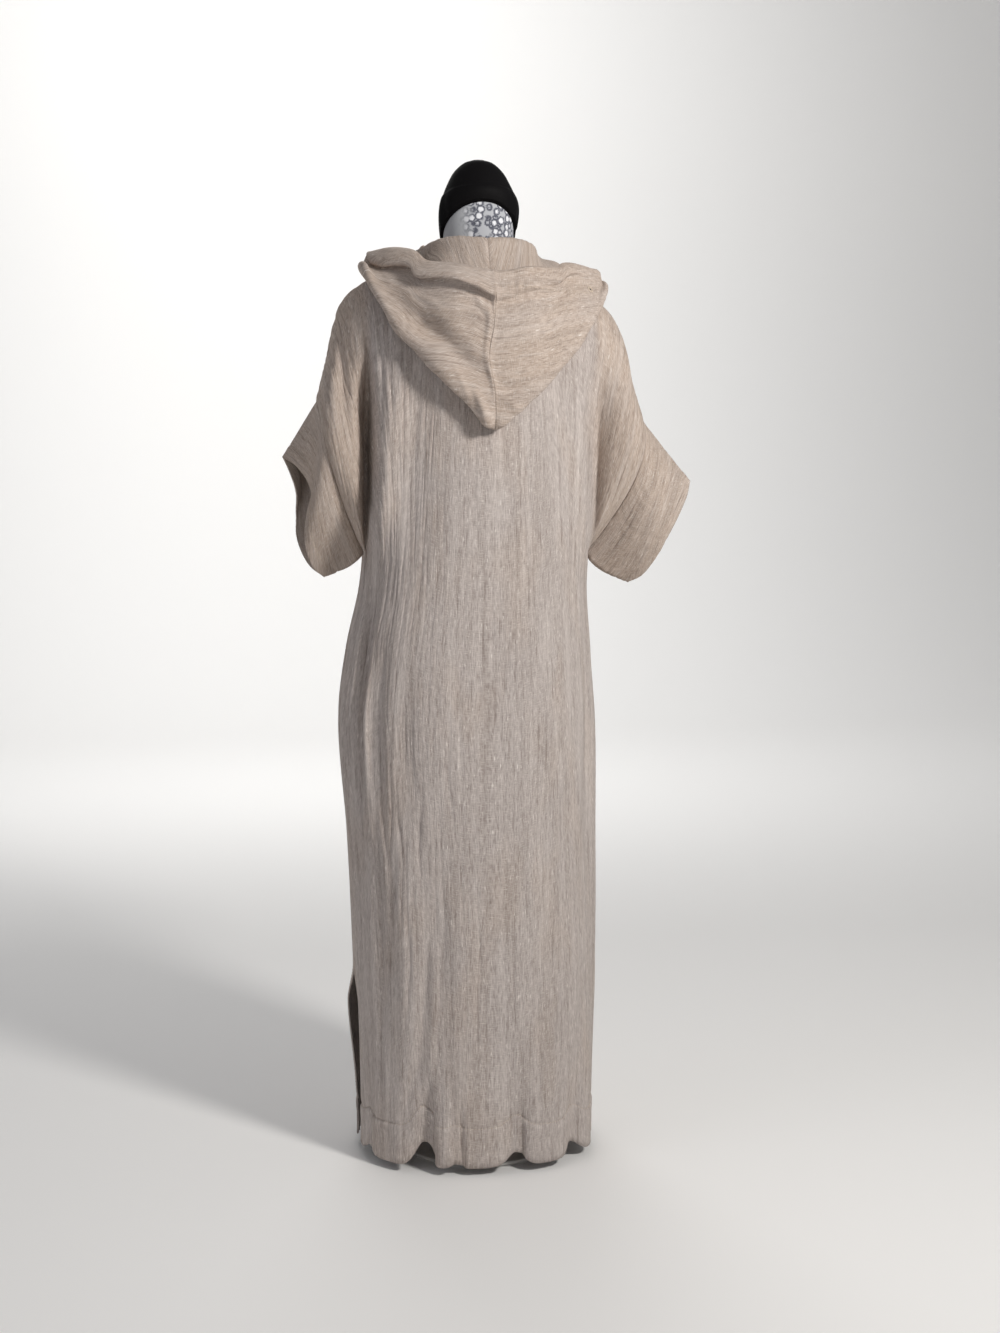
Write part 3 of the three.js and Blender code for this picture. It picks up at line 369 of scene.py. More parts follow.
hood = {
    "seamLift": 2.2, "lie": 8, "shoulderAt": 1.06, "shoulderRange": 0.2, "shoulderLift": 8,
    "foldDepth": 15, "bandShare": 0.2, "columns": 176,
    # at, foldX, foldFall, rimX, rimFall, rimLift, belly, crest, bulge, drop
    "left": [
        (0, 0, 0.653, 0, 0.18, 30, 26, 22, 5, 0.02), (0.06, 12, 0.64, 8, 0.179, 30, 26, 22, 6, 0.03),
        (0.17, 31, 0.585, 22, 0.175, 30, 27, 22, 7, 0.05),
        (0.33, 62, 0.51, 43, 0.163, 30, 28, 21, 7, 0.05), (0.5, 92, 0.425, 65, 0.143, 30, 28, 20, 7, 0.05),
        (0.67, 121, 0.32, 89, 0.095, 31, 27, 17, 7, 0.05), (0.83, 144, 0.19, 116, 0.045, 34, 26, 14, 7, 0.05),
        (1, 154, 0.07, 136, 0.01, 36, 25, 13, 6, 0.04), (1.17, 150, 0.06, 130, 0.02, 34, 24, 12, 4, 0.02),
        (1.35, 128, 0.15, 110, 0.07, 29, 23, 11, 2, 0), (1.5, 102, 0.2, 86, 0.1, 26, 22, 11, 2, 0),
        *hoodFront,
    ],
    "right": [
        (0, 0, 0.653, 0, 0.18, 30, 26, 22, 5, 0.02), (0.06, 11, 0.645, 8, 0.179, 30, 26, 22, 3, 0.01),
        (0.17, 29, 0.605, 23, 0.175, 30, 27, 22, 2, 0),
        (0.33, 60, 0.545, 46, 0.165, 30, 28, 21, 2, 0), (0.5, 92, 0.455, 70, 0.14, 31, 28, 19, 2, 0),
        (0.67, 124, 0.325, 96, 0.108, 33, 27, 17, 2, 0), (0.83, 150, 0.19, 123, 0.07, 35, 26, 15, 3, 0),
        (1, 163, 0.07, 144, 0.03, 36, 25, 14, 3, 0), (1.17, 156, 0.06, 136, 0.02, 34, 24, 12, 2, 0),
        (1.35, 132, 0.15, 114, 0.07, 29, 23, 11, 2, 0), (1.5, 104, 0.2, 88, 0.1, 26, 22, 11, 2, 0),
        *hoodFront,
    ],
    # how the outer layer is carried: the ends' middle outwards, their lip inwards, the rim's corner
    # down, the belly below the band out, and the band's height at each distance from the middle
    "shape": {
        "left": {"endOut": 6, "lipIn": 8, "cornerDown": 3, "bellyOut": 5, "roll": 3.4, "groove": 5,
                 "turned": 7, "turnedWide": 46, "seed": 53, "clothFrom": 0,
                 "slideAt": (0, 25, 54, 83, 116, 140, 160), "slide": (4, 14, 11, 6, -8, -20, -18)},
        "right": {"endOut": 9, "lipIn": 8, "cornerDown": 3, "bellyOut": 0, "roll": 3, "groove": 2,
                  "turned": 5, "turnedWide": 34, "seed": 61, "clothFrom": 600,
                  "slideAt": (0, 160), "slide": (0, 0)},
    },
    # distances from the middle between which each of these grows or fades
    "endGrows": (118, 152), "calmGrows": (105, 140), "rollFades": (168, 142), "grooveFades": (168, 150),
    # the centre seam strays to the wearer's left over the middle of the pouch
    "stray": {"out": 9, "z": 1136, "tall": 34, "wide": 70},
    "seam": {"deep": 1.4, "wide": 3}, "crinkle": 1.2, "endCrinkle": 0.3, "backFrom": (-20, 20),
    # the band's stitching on the right half gathers the cloth
    "pucker": {"high": 1.6, "long": 7, "z": 1231, "tall": 9, "from": (-15, -30)},
    "warmth": 0.85, "clothAcross": 2000, "flat": (0.36, 0.42), "area": 0.106,
    # grid rows between one key point of a profile and the next
    "rowsBetween": (10, 8, 10, 16, 16, 8, 8, 20, 16, 6, 8, 12, 4),
}
foldKey, bandKey, rimKey = 6, 10, 12  # places in a profile's list of key points


def topNormal(face, column, fall):
    # across the steps along a column and along a row, crossed
    stepColumn, stepFall = 0.05, 0.004
    low = np.maximum(0, fall - stepFall)
    across = topPoint(face, column + stepColumn, fall) - topPoint(face, column - stepColumn, fall)
    down = topPoint(face, column, fall + stepFall) - topPoint(face, column, low)
    return unit(np.cross(across, down) * faceSign(face))


def unit(vectors):
    return vectors / np.maximum(np.linalg.norm(vectors, axis=-1, keepdims=True), 1e-9)


def overBody(face, column, fall, lift):
    # a point at a height over the body, with the two panels' directions blended near the shoulder line
    normal = topNormal(face, column, fall)
    nearLine, blendOver = 0.02, 0.12
    other = topNormal("front" if face == "back" else "back", column, np.minimum(fall, nearLine))
    share = np.where(np.abs(column) >= body["neckColumns"], 0.5 * (1 - ease(0, blendOver, fall)), 0)
    normal = unit(mix(normal, other, share[..., None]))
    return topPoint(face, column, fall) + normal * np.asarray(lift)[..., None]


def columnAt(face, sign, x, fall):
    # halves an interval of columns until it passes at the distance x from the middle
    low, high = np.zeros_like(x), np.full_like(x, float(halfColumns))
    for _ in range(30):
        middle = (low + high) / 2
        short = np.abs(topPoint(face, sign * middle, fall)[..., 0]) < x
        low, high = np.where(short, middle, low), np.where(short, high, middle)
    return sign * low


def hoodKeys(side, station):
    # neckline, over the crest, down inside the pouch, round its fold, up outside and over the band
    at, foldX, foldFall, rimX, rimFall, rimLift, belly, crest, bulge, drop = station
    face, sign = ("front" if at > 1 else "back"), (1 if side == "left" else -1)
    neckColumn = body["neckColumns"] * (at if face == "back" else 2 - at)
    start = (columnStart(face, np.array([neckColumn]))[0, 0], 0)
    fold, rim, band = (foldX, foldFall), (rimX, rimFall), 1 - hood["bandShare"]
    lie = hood["lie"] + hood["shoulderLift"] * bell(at, hood["shoulderAt"], hood["shoulderRange"])
    deep = hood["foldDepth"]
    # each key point's way, by place across and fall at its start and end, its share and its lift
    way = [
        (start, fold, 0, hood["seamLift"]), (start, fold, 0.03, crest),
        (start, fold, 0.16, hood["lie"] + 3), (start, fold, 0.35, lie + 1), (start, fold, 0.65, lie),
        (start, fold, 0.95, lie), (start, fold, 1.01, lie + deep / 2), (fold, rim, 0.04, lie + deep),
        (fold, rim, 0.4, belly), (fold, rim, band - 0.02, mix(belly, rimLift, 0.7)),
        (fold, rim, band + 0.03 - drop, mix(belly, rimLift, 0.8) + bulge),
        (fold, rim, band + 0.12, rimLift + bulge / 2), (fold, rim, 1, rimLift),
        (fold, rim, 1, rimLift - 6),
    ]
    x = np.array([mix(a[0], b[0], share) for a, b, share, lift in way])
    fall = np.array([mix(a[1], b[1], share) for a, b, share, lift in way])
    lift = np.array([lift for a, b, share, lift in way])
    return overBody(face, columnAt(face, sign, x, fall), fall, lift)


def hoodGrid(side):
    # a profile through the key points for each place round the neck, from front to back
    stations = hood[side]
    keys = np.array([hoodKeys(side, station) for station in stations])
    at = np.linspace(2, 0, hood["columns"] + 1)
    places = smoothRead([station[0] for station in stations], keys, at)
    steps = np.concatenate([
        (k + np.arange(count) / count) for k, count in enumerate(hood["rowsBetween"])
    ] + [[len(hood["rowsBetween"])]])
    grid = throughPoints(places.transpose(1, 0, 2), steps / len(hood["rowsBetween"]))
    grid = grid.transpose(1, 0, 2)
    sign = 1 if side == "left" else -1
    neckColumn = sign * body["neckColumns"] * np.where(at > 1, 2 - at, at)
    onFront = overBody("front", neckColumn, np.zeros_like(at), np.full_like(at, hood["seamLift"]))
    onBack = overBody("back", neckColumn, np.zeros_like(at), np.full_like(at, hood["seamLift"]))
    grid[:, 0] = np.where((at > 1)[:, None], onFront, onBack)
    grid[[0, -1], :, 0] = 0
    return grid, steps


# Cloth: crinkles, creases and seams on a grid of middle points

cloth = {
    "wall": 1.6, "hemExtra": 1.0, "seamGroove": 0.7, "seamWidth": 2.2, "calmAtSeam": 7,
    "columnWidth": 17.6,
    # across, along and height of each size of crinkle
    "crinkles": [(34, 260, 0.7), (13, 150, 0.34), (6, 80, 0.36)],
    "wander": (60, 220, 4),
    # where the panels' cloth turns from the body's greyer tone to the shoulders' warmer one
    "warmFrom": (150, 172), "warmAbove": (835, 885),
    # the wearer's left side of the back is crinkled more
    "roughSide": (20, 140), "roughness": 1.3,
}

# Creases of the back by x and z: half-width, depth (below 0 is a ridge), then the path
backCreases = [
    (4, 6, [(163, 1185), (164, 1090), (165, 980), (166, 850)]),
    (3, 2.4, [(-165, 1060), (-164, 960), (-161, 850)]),
    (9, 6, [(160, 800), (166, 700), (167, 610), (164, 530), (160, 430)]),
    (12, 5, [(97, 480), (94, 330), (92, 200), (90, 60), (89, -60)]),
    (7, 8, [(94, 130), (91, 70), (88, -60)]),
    (4.5, 6, [(46, 90), (45, 20), (44, -70)]),
    (4.5, 6, [(-39, 95), (-41, 20), (-42, -70)]),
    (9, -5, [(66, 110), (66, 20), (66, -60)]),
    (3, 3, [(146, 600), (150, 520), (144, 440)]),
    (3, 3.4, [(134, 452), (139, 360), (143, 273)]),
    (3, 3, [(120, 380), (116, 300), (122, 210)]),
    (3, 2.6, [(151, 245), (154, 164), (150, 90)]),
    (2.6, 2.4, [(98, 540), (104, 470), (100, 400)]),
    (6, -3.5, [(80, 330), (84, 249), (90, 157), (106, 108), (111, 50)]),
    (6, 3.5, [(94, 311), (98, 249), (105, 157), (120, 111), (125, 56)]),
    (2.2, -1.3, [(94, 674), (30, 672), (-74, 671)]),
    (2.4, 1.1, [(-1, 834), (0, 760), (0, 682)]),
    (3, 1.8, [(60, 640), (64, 560), (58, 500)]),
    (4, 2.2, [(-140, 760), (-146, 640), (-141, 520)]),
    (4, -1.8, [(-118, 470), (-124, 330), (-120, 190)]),
    (4, 2.0, [(-60, 300), (-66, 200), (-62, 90)]),
    (3, 1.6, [(24, 420), (20, 300), (26, 190)]),
]
frontCreases = [
    (4, 3.0, [(150, 760), (158, 660), (154, 560)]),
    (3, 2.4, [(-146, 700), (-152, 610), (-148, 520)]),
    (5, 3.0, [(40, 1040), (52, 900), (48, 740)]),
    (5, -2.6, [(-30, 1060), (-38, 900), (-32, 700)]),
    (4, 2.4, [(-92, 980), (-98, 800), (-92, 640)]),
    (4, 2.4, [(104, 520), (98, 380), (104, 220)]),
    (4, 2.2, [(-60, 420), (-54, 300), (-60, 160)]),
    (2.2, -1.2, [(-84, 668), (0, 670), (86, 667)]),
    (3, 1.8, [(16, 420), (10, 300), (14, 200)]),
    (3, 2.0, [(-128, 430), (-134, 320), (-130, 200)]),
]
hoodCreases = {
    "left": [
        (15, -10, [(134, 1222), (84, 1172), (32, 1131), (2, 1110)]),
        (4, 4, [(8, 1206), (5, 1180), (3, 1150), (2, 1116)]),
        (4, 7, [(26, 1090), (15, 1066), (8, 1046)]),
        (3.0, 5, [(25, 1214), (14, 1202), (4, 1190)]),
        (4, 2.2, [(96, 1196), (60, 1186), (30, 1190)]),
        (3, 1.8, [(110, 1228), (84, 1212), (66, 1196)]),
        (3, 1.8, [(50, 1120), (40, 1098), (32, 1080)]),
    ],
    "right": [
        (9, -4, [(0, 1106), (-27, 1092), (-50, 1090)]),
        (5, 4, [(-6, 1084), (-26, 1070), (-44, 1072)]),
        (2.2, 3, [(-15, 1227), (-54, 1231), (-93, 1234), (-150, 1234)]),
        (7, -3, [(-12, 1246), (-60, 1248), (-110, 1248), (-160, 1244)]),
        (2.6, 2.6, [(-20, 1201), (-62, 1204), (-107, 1204)]),
        (4, 1.6, [(-96, 1150), (-84, 1126), (-66, 1108)]),
        (3, 1.6, [(-30, 1170), (-60, 1172), (-86, 1166)]),
        (3, 1.4, [(-24, 1140), (-50, 1146), (-74, 1142)]),
        (5, -1.6, [(-120, 1218), (-80, 1219), (-30, 1216)]),
    ],
}


def gridNormals(grid, closed):
    # steps along a column crossed with steps along a row, from the points on each side
    across = np.roll(grid, -1, 0) - np.roll(grid, 1, 0) if closed else np.gradient(grid, axis=0)
    down = np.gradient(grid, axis=1)
    return unit(np.cross(down, across))


def edgeDistances(grid):
    # the length of cloth from each point to the grid's first and last column and row
    def run(axis):
        steps = np.linalg.norm(np.diff(grid, axis=axis), axis=-1)
        pad = [(0, 0), (0, 0)]
        pad[axis] = (1, 0)
        return np.pad(np.cumsum(steps, axis=axis), pad)
    across, down = run(0), run(1)
    return across, across[-1:] - across, down, down[:, -1:] - down


def creaseDepth(x, z, creases):
    # for each crease: depth, times a bell of the distance from its path, faded over its two ends
    total = np.zeros_like(x)
    for width, depth, path in creases:
        path = np.array(path, float)
        near, shareAt, length = np.full_like(x, farAway), np.zeros_like(x), len(path) - 1
        for k in range(length):
            start, way = path[k], path[k + 1] - path[k]
            t = np.clip(((x - start[0]) * way[0] + (z - start[1]) * way[1]) / (way @ way), 0, 1)
            away = np.hypot(x - start[0] - t * way[0], z - start[1] - t * way[1])
            closer = away < near
            near, shareAt = np.where(closer, away, near), np.where(closer, (k + t) / length, shareAt)
        total += depth * bell(near, 0, width) * np.sin(np.pi * mix(0.06, 0.94, shareAt)) ** 0.7
    return total


def crinkleHeight(u, v, seed, strength):
    # noise drawn out along the cloth at three sizes, whose lines wander a little sideways; the two
    # small ones are creased inwards where the noise passes through zero
    across, along, sideways = cloth["wander"]
    u = u + sideways * softNoise(u / across, v / along, seed)
    height = 0
    for k, (wide, long, tall) in enumerate(cloth["crinkles"]):
        noise = softNoise(u / wide, v / long, seed + k + 1)
        ridge = noise if k == 0 else 0.6 - 2 * (1 - np.abs(noise)) ** 5
        height = height + tall * ridge
    uneven = 0.75 + 0.6 * softNoise(u / 55, v / 160, seed + 7)
    return height * strength * np.clip(uneven, 0.2, 1.4)


def linkObject(mesh, material):
    piece = bpy.data.objects.new(mesh.name, mesh)
    bpy.context.scene.collection.objects.link(piece)
    mesh.materials.append(material)
    return piece


def newMesh(name, points, faces, material, flatFrom=None, uv=None, warmth=None):
    # faces is a list of index arrays, each of triangles or of quads
    sizes = np.concatenate([np.full(len(f), f.shape[1]) for f in faces])
    corners = np.concatenate([f.ravel() for f in faces])
    mesh = bpy.data.meshes.new(name)
    mesh.vertices.add(len(points))
    mesh.vertices.foreach_set("co", (points * mm).astype(np.float32).ravel())
    mesh.loops.add(len(corners))
    mesh.loops.foreach_set("vertex_index", corners.astype(np.int32))
    mesh.polygons.add(len(sizes))
    mesh.polygons.foreach_set("loop_start", (np.cumsum(sizes) - sizes).astype(np.int32))
    smooth = np.ones(len(sizes), bool)
    if flatFrom is not None:
        smooth[flatFrom:] = False
    mesh.polygons.foreach_set("use_smooth", smooth)
    if uv is not None:
        layer = mesh.uv_layers.new(name="cloth")
        layer.data.foreach_set("uv", (uv[corners] * mm).astype(np.float32).ravel())
    if warmth is not None:
        layer = mesh.attributes.new("warmth", "FLOAT", "POINT")
        layer.data.foreach_set("value", warmth.astype(np.float32))
    mesh.update(calc_edges=True)
    mesh.validate()
    return linkObject(mesh, material)


def wallPiece(name, grid, thickness, uv, warmth, closed=False):
    # two layers half a thickness either side of the grid, joined by quads round the edges
    normals = gridNormals(grid, closed)
    half = (thickness / 2)[..., None]
    n, m = grid.shape[:2]
    ids = np.arange(n * m).reshape(n, m)
    if closed:
        ids = np.vstack([ids, ids[:1]])
    inner = ids + n * m
    quad = lambda a, b, c, d: np.stack([a.ravel(), b.ravel(), c.ravel(), d.ravel()], axis=1)
    layers = [
        quad(ids[:-1, :-1], ids[:-1, 1:], ids[1:, 1:], ids[1:, :-1]),
        quad(inner[:-1, :-1], inner[1:, :-1], inner[1:, 1:], inner[:-1, 1:]),
    ]
    edges = [
        quad(ids[:-1, 0], ids[1:, 0], inner[1:, 0], inner[:-1, 0]),
        quad(ids[1:, -1], ids[:-1, -1], inner[:-1, -1], inner[1:, -1]),
    ]
    if not closed:
        edges += [
            quad(ids[0, 1:], ids[0, :-1], inner[0, :-1], inner[0, 1:]),
            quad(ids[-1, :-1], ids[-1, 1:], inner[-1, 1:], inner[-1, :-1]),
        ]
    points = np.concatenate([(grid + normals * way * half).reshape(-1, 3) for way in (1, -1)])
    flat = uv.reshape(-1, 2)
    faces = np.concatenate(layers)
    tone = np.broadcast_to(warmth, grid.shape[:2]).ravel()
    return newMesh(
        name, points, [faces, *edges], materials["linen"], len(faces),
        np.concatenate([flat, flat]), np.concatenate([tone, tone]),
    )


# Materials

def linear(code):
    # an sRGB hex value as linear red, green, blue and a full alpha
    parts = [int(code[i:i + 2], 16) / 255 for i in (1, 3, 5)]
    return [p / 12.92 if p <= 0.04045 else ((p + 0.055) / 1.055) ** 2.4 for p in parts] + [1]


def newMaterial(name, roughness, **sockets):
    # a principled surface with its constants set on its own sockets
    material = bpy.data.materials.new(name)
    material.use_nodes = True
    shader = material.node_tree.nodes["Principled BSDF"]
    shader.inputs["Roughness"].default_value = roughness
    for socket, value in sockets.items():
        shader.inputs[socket.replace("_", " ")].default_value = value
    return material, shader


def node(material, kind, settings=(), inputs=(), links=()):
    # adds one node: settings are its properties, inputs its values, and links come from other nodes
    made = material.node_tree.nodes.new(kind)
    for key, value in dict(settings).items():
        setattr(made, key, value)
    for key, value in dict(inputs).items():
        made.inputs[key].default_value = value
    for key, source in dict(links).items():
        material.node_tree.links.new(source, made.inputs[key])
    return made


def join(material, source, target):
    material.node_tree.links.new(source, target)


def fill(material, slot, value):
    # a number or a colour is set on the socket, and anything else is linked to it
    if isinstance(value, (float, int, list)):
        slot.default_value = value
    else:
        join(material, value, slot)


def colourRamp(material, source, stops):
    ramp = node(material, "ShaderNodeValToRGB", links={"Fac": source})
    elements = ramp.color_ramp.elements
    while len(elements) < len(stops):
        elements.new(0.5)
    for element, (place, code) in zip(elements, stops):
        element.position = place
        element.color = linear(code)
    return ramp.outputs["Color"]


def stretchedNoise(material, coordinates, across, along, detail, roughness, shift):
    # noise on the cloth's own coordinates, across and along in millimetres
    place = node(
        material, "ShaderNodeMapping",
        inputs={"Scale": (1 / (across * mm), 1 / (along * mm), 1), "Location": (shift, shift, shift)},
        links={"Vector": coordinates},
    )
    return node(
        material, "ShaderNodeTexNoise",
        inputs={"Scale": 1, "Detail": detail, "Roughness": roughness},
        links={"Vector": place.outputs["Vector"]},
    ).outputs["Fac"]


def lumpyNoise(material, size, detail):
    # noise on the piece's own coordinates, in lumps of a size in millimetres
    place = node(material, "ShaderNodeTexCoord").outputs["Object"]
    return node(
        material, "ShaderNodeTexNoise", inputs={"Scale": 1 / (size * mm), "Detail": detail},
        links={"Vector": place},
    ).outputs["Fac"]


def blendColours(material, first, second, factor):
    mixed = node(material, "ShaderNodeMix", {"data_type": "RGBA"})
    for slot, value in ((0, factor), (6, first), (7, second)):
        fill(material, mixed.inputs[slot], value)
    return mixed.outputs[2]


def worked(material, operation, *values, clamp=False):
    # a sum or a product of sockets and numbers
    made = node(material, "ShaderNodeMath", {"operation": operation, "use_clamp": clamp})
    for slot, value in enumerate(values):
        fill(material, made.inputs[slot], value)
    return made.outputs["Value"]


def mapped(material, source, low, high, start=0.0, end=1.0):
    # a value carried from one range to another and held at its ends
    return node(
        material, "ShaderNodeMapRange",
        inputs={"From Min": low, "From Max": high, "To Min": start, "To Max": end},
        links={"Value": source},
    ).outputs["Result"]


def bump(material, height, strength, distance, under=None):
    # fine relief up to a distance in metres, over another bump where there is one
    links = {"Height": height} if under is None else {"Height": height, "Normal": under}
    made = node(material, "ShaderNodeBump", inputs={"Strength": strength, "Distance": distance}, links=links)
    return made.outputs["Normal"]


linen = {
    # dark, middle and light tones of the body, and of the shoulders, sleeves and hood
    "grey": ("#958b86", "#b2a8a3", "#c6bdb8"), "warm": ("#96867b", "#b4a396", "#c7b8ac"),
    "toneStops": (0.28, 0.5, 0.72), "drift": (0.35, 0.65, -0.25, 0.35),
    # size across and along, detail, roughness and shift of each pattern
    "patterns": {
        "lines": (4.6, 75, 4, 0.65, 0), "yarns": (1.2, 14, 2, 0.6, 7), "wefts": (7, 1.2, 2, 0.6, 13),
        "patches": (60, 170, 3, 0.5, 19), "bands": (13, 260, 2, 0.5, 43), "slubs": (1.7, 13, 1, 0.5, 31),
    },
    # what is laid over the tones: a pattern, two of its values, the share at each, and the colour
    "layers": [
        ("bands", 0.3, 0.5, 0.3, 0, "#8d8179"), ("bands", 0.52, 0.72, 0, 0.3, "#d3cac4"),
        ("wefts", 0.52, 0.7, 0, 0.5, "#ddd4cc"), ("slubs", 0.66, 0.76, 0, 0.75, "#e6dfd8"),
        # the two lines layers are painted light: painted shade as dark lines in the fine creases' valleys,
        # and painted highlight as pale lines on their crests
        ("lines", 0.3, 0.45, 0.5, 0, "#71645c"), ("lines", 0.56, 0.72, 0, 0.4, "#dcd3cc"),
    ],
    "threadBump": (0.5, 0.0008), "lineBump": (0.8, 0.0016),
}


def crinkledLinen():
    # linen gauze: matt flax threads in mixed tones with pale slubs, painted shade as dark lines in the
    # crinkles' valleys, painted highlight as pale lines on their crests, and a soft bloom at grazing light.
    # The yarns are drawn a little wider than real so that they show.
    material, shader = newMaterial(
        "crinkled_linen_gauze", 0.94, Specular_IOR_Level=0.18, Sheen_Weight=0.14, Sheen_Roughness=0.5,
        Sheen_Tint=linear("#e4dcd2"),
    )
    flat = node(material, "ShaderNodeUVMap", {"uv_map": "cloth"}).outputs["UV"]
    warmth = node(material, "ShaderNodeAttribute", {"attribute_name": "warmth"}).outputs["Fac"]
    pattern = {name: stretchedNoise(material, flat, *size) for name, size in linen["patterns"].items()}
    grey, warm = (
        colourRamp(material, pattern["yarns"], list(zip(linen["toneStops"], linen[tone])))
        for tone in ("grey", "warm")
    )
    drift = mapped(material, pattern["patches"], *linen["drift"])
    base = blendColours(material, grey, warm, worked(material, "ADD", warmth, drift, clamp=True))
    for name, low, high, start, end, tone in linen["layers"]:
        share = mapped(material, pattern[name], low, high, start, end)
        base = blendColours(material, base, linear(tone), share)
    join(material, base, shader.inputs["Base Color"])
    threads = worked(material, "ADD", pattern["yarns"], pattern["wefts"])
    fine = bump(material, threads, *linen["threadBump"])
    join(material, bump(material, pattern["lines"], *linen["lineBump"], fine), shader.inputs["Normal"])
    return material


def printedCover():
    # a knitted cotton cover: pale grey, with a print of whitish rounded cells about 9 mm across in
    # blotchy dark rims, which fades to plain grey on the wearer's left
    material, shader = newMaterial("printed_cotton_cover", 0.85, Specular_IOR_Level=0.3, Sheen_Weight=0.1)
    place = node(material, "ShaderNodeTexCoord").outputs["Object"]
    cells = node(
        material, "ShaderNodeTexVoronoi", {"feature": "F1"},
        inputs={"Scale": 1 / (10.5 * mm), "Randomness": 0.75}, links={"Vector": place},
    ).outputs["Distance"]
    grain = lumpyNoise(material, 2.4, 3)
    # the grain roughens the rims by moving them up to 0.17 of a cell either way
    away = worked(material, "ADD", cells, worked(material, "MULTIPLY_ADD", grain, 0.34, -0.17))
    ink = colourRamp(material, away, [
        (0.3, "#e6e7eb"), (0.4, "#9fa1a9"), (0.46, "#4b4d58"), (0.56, "#6a6c76"), (0.66, "#b4b6bb"),
    ])
    across = node(material, "ShaderNodeSeparateXYZ", links={"Vector": place}).outputs["X"]
    edge = worked(material, "MULTIPLY_ADD", lumpyNoise(material, 14, 1), 0.03, across)
    plain = mapped(material, edge, 0.03, 0.045)
    join(material, blendColours(material, ink, linear("#b9bbbe"), plain), shader.inputs["Base Color"])
    join(material, bump(material, grain, 0.3, 0.0004), shader.inputs["Normal"])
    return material


def blackJersey():
    # fine black jersey: almost no colour, with a weak soft gloss along its folds
    material, shader = newMaterial(
        "black_jersey_cover", 0.7, Specular_IOR_Level=0.12, Sheen_Weight=0.02, Sheen_Roughness=0.35,
        Sheen_Tint=linear("#6a6570"),
    )
    knit = lumpyNoise(material, 1.5, 3)
    tone = colourRamp(material, knit, [(0.35, "#050405"), (0.65, "#0b090b")])
    join(material, tone, shader.inputs["Base Color"])
    join(material, bump(material, knit, 0.35, 0.0005), shader.inputs["Normal"])
    return material


def paintedSteel():
    # powder-coated steel: off-white, a little uneven in tone, with the coat's fine orange peel
    material, shader = newMaterial("powder_coated_steel", 0.42, Coat_Weight=0.15, Coat_Roughness=0.3)
    peel = lumpyNoise(material, 2.5, 2)
    wear = lumpyNoise(material, 60, 4)
    tone = colourRamp(material, wear, [(0.35, "#d6d3ce"), (0.6, "#e4e2de")])
    join(material, tone, shader.inputs["Base Color"])
    join(material, bump(material, peel, 0.15, 0.0003), shader.inputs["Normal"])
    return material


def sewingThread():
    # spun polyester thread in the linen's tones, with its twist as fine bands
    material, shader = newMaterial("spun_sewing_thread", 0.7, Specular_IOR_Level=0.4)
    twist = lumpyNoise(material, 1.2, 1)
    tone = colourRamp(material, twist, [(0.35, "#a3937f"), (0.65, "#d3c5b4")])
    join(material, tone, shader.inputs["Base Color"])
    return material


materials = {
    "linen": crinkledLinen(),
    "cover": printedCover(),
    "jersey": blackJersey(),
    "steel": paintedSteel(),
    "thread": sewingThread(),
}
print("materials made")


def finishPiece(piece, slot, *nodes):
    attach(piece, "root")
    if nodes:
        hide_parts(*nodes)
    return piece


# The front and back panels

panels = {
    # the back's left edge stands out over the fold under the arm, and the shoulder beside it lies low:
    # how far, from where to where across, and between which heights
    "edge": {"out": 34, "from": 104, "to": 150, "power": 2.2, "drop": (152, 161), "low": (810, 960),
             "high": (1205, 1050)},
    "shoulder": {"in": 26, "at": 197, "wide": 15, "z": 1115, "tall": 75},
    "columns": 384, "topGridRows": 42, "skirtGridRows": 66, "hemGridRows": 7,
    "besideHemLine": (-0.14, -0.08, -0.04, 0, 0.04, 0.08, 0.14), "hemLineSpace": 0.2,
    # the hem's stitch line: how deep and how wide, how it wavers, and the fullness below it
    "hemLine": {"deep": 1.7, "wide": 0.07, "waver": 0.7, "waverLength": 9, "turnWide": 0.05},
    "hemFullness": {"out": 0.8, "below": 0.35, "wide": 0.25},
    "back": {"seed": 11, "creases": backCreases, "clothFrom": 0, "flat": (0.74, 1.31), "area": 0.69},
    "front": {"seed": 23, "creases": frontCreases, "clothFrom": 2000, "flat": (0.74, 1.30), "area": 0.67},
}


def leftEdge(x, z):
    # a power of the way to the edge and a steep drop past it, less a bell over the shoulder
    edge, shoulder = panels["edge"], panels["shoulder"]
    share = np.clip((x - edge["from"]) / (edge["to"] - edge["from"]), 0, 1)
    out = edge["out"] * share ** edge["power"] * (1 - ease(*edge["drop"], x))
    out = out * ease(*edge["low"], z) * ease(*edge["high"], z)
    low = shoulder["in"] * bell(x, shoulder["at"], shoulder["wide"])
    return out - low * bell(z, shoulder["z"], shoulder["tall"])


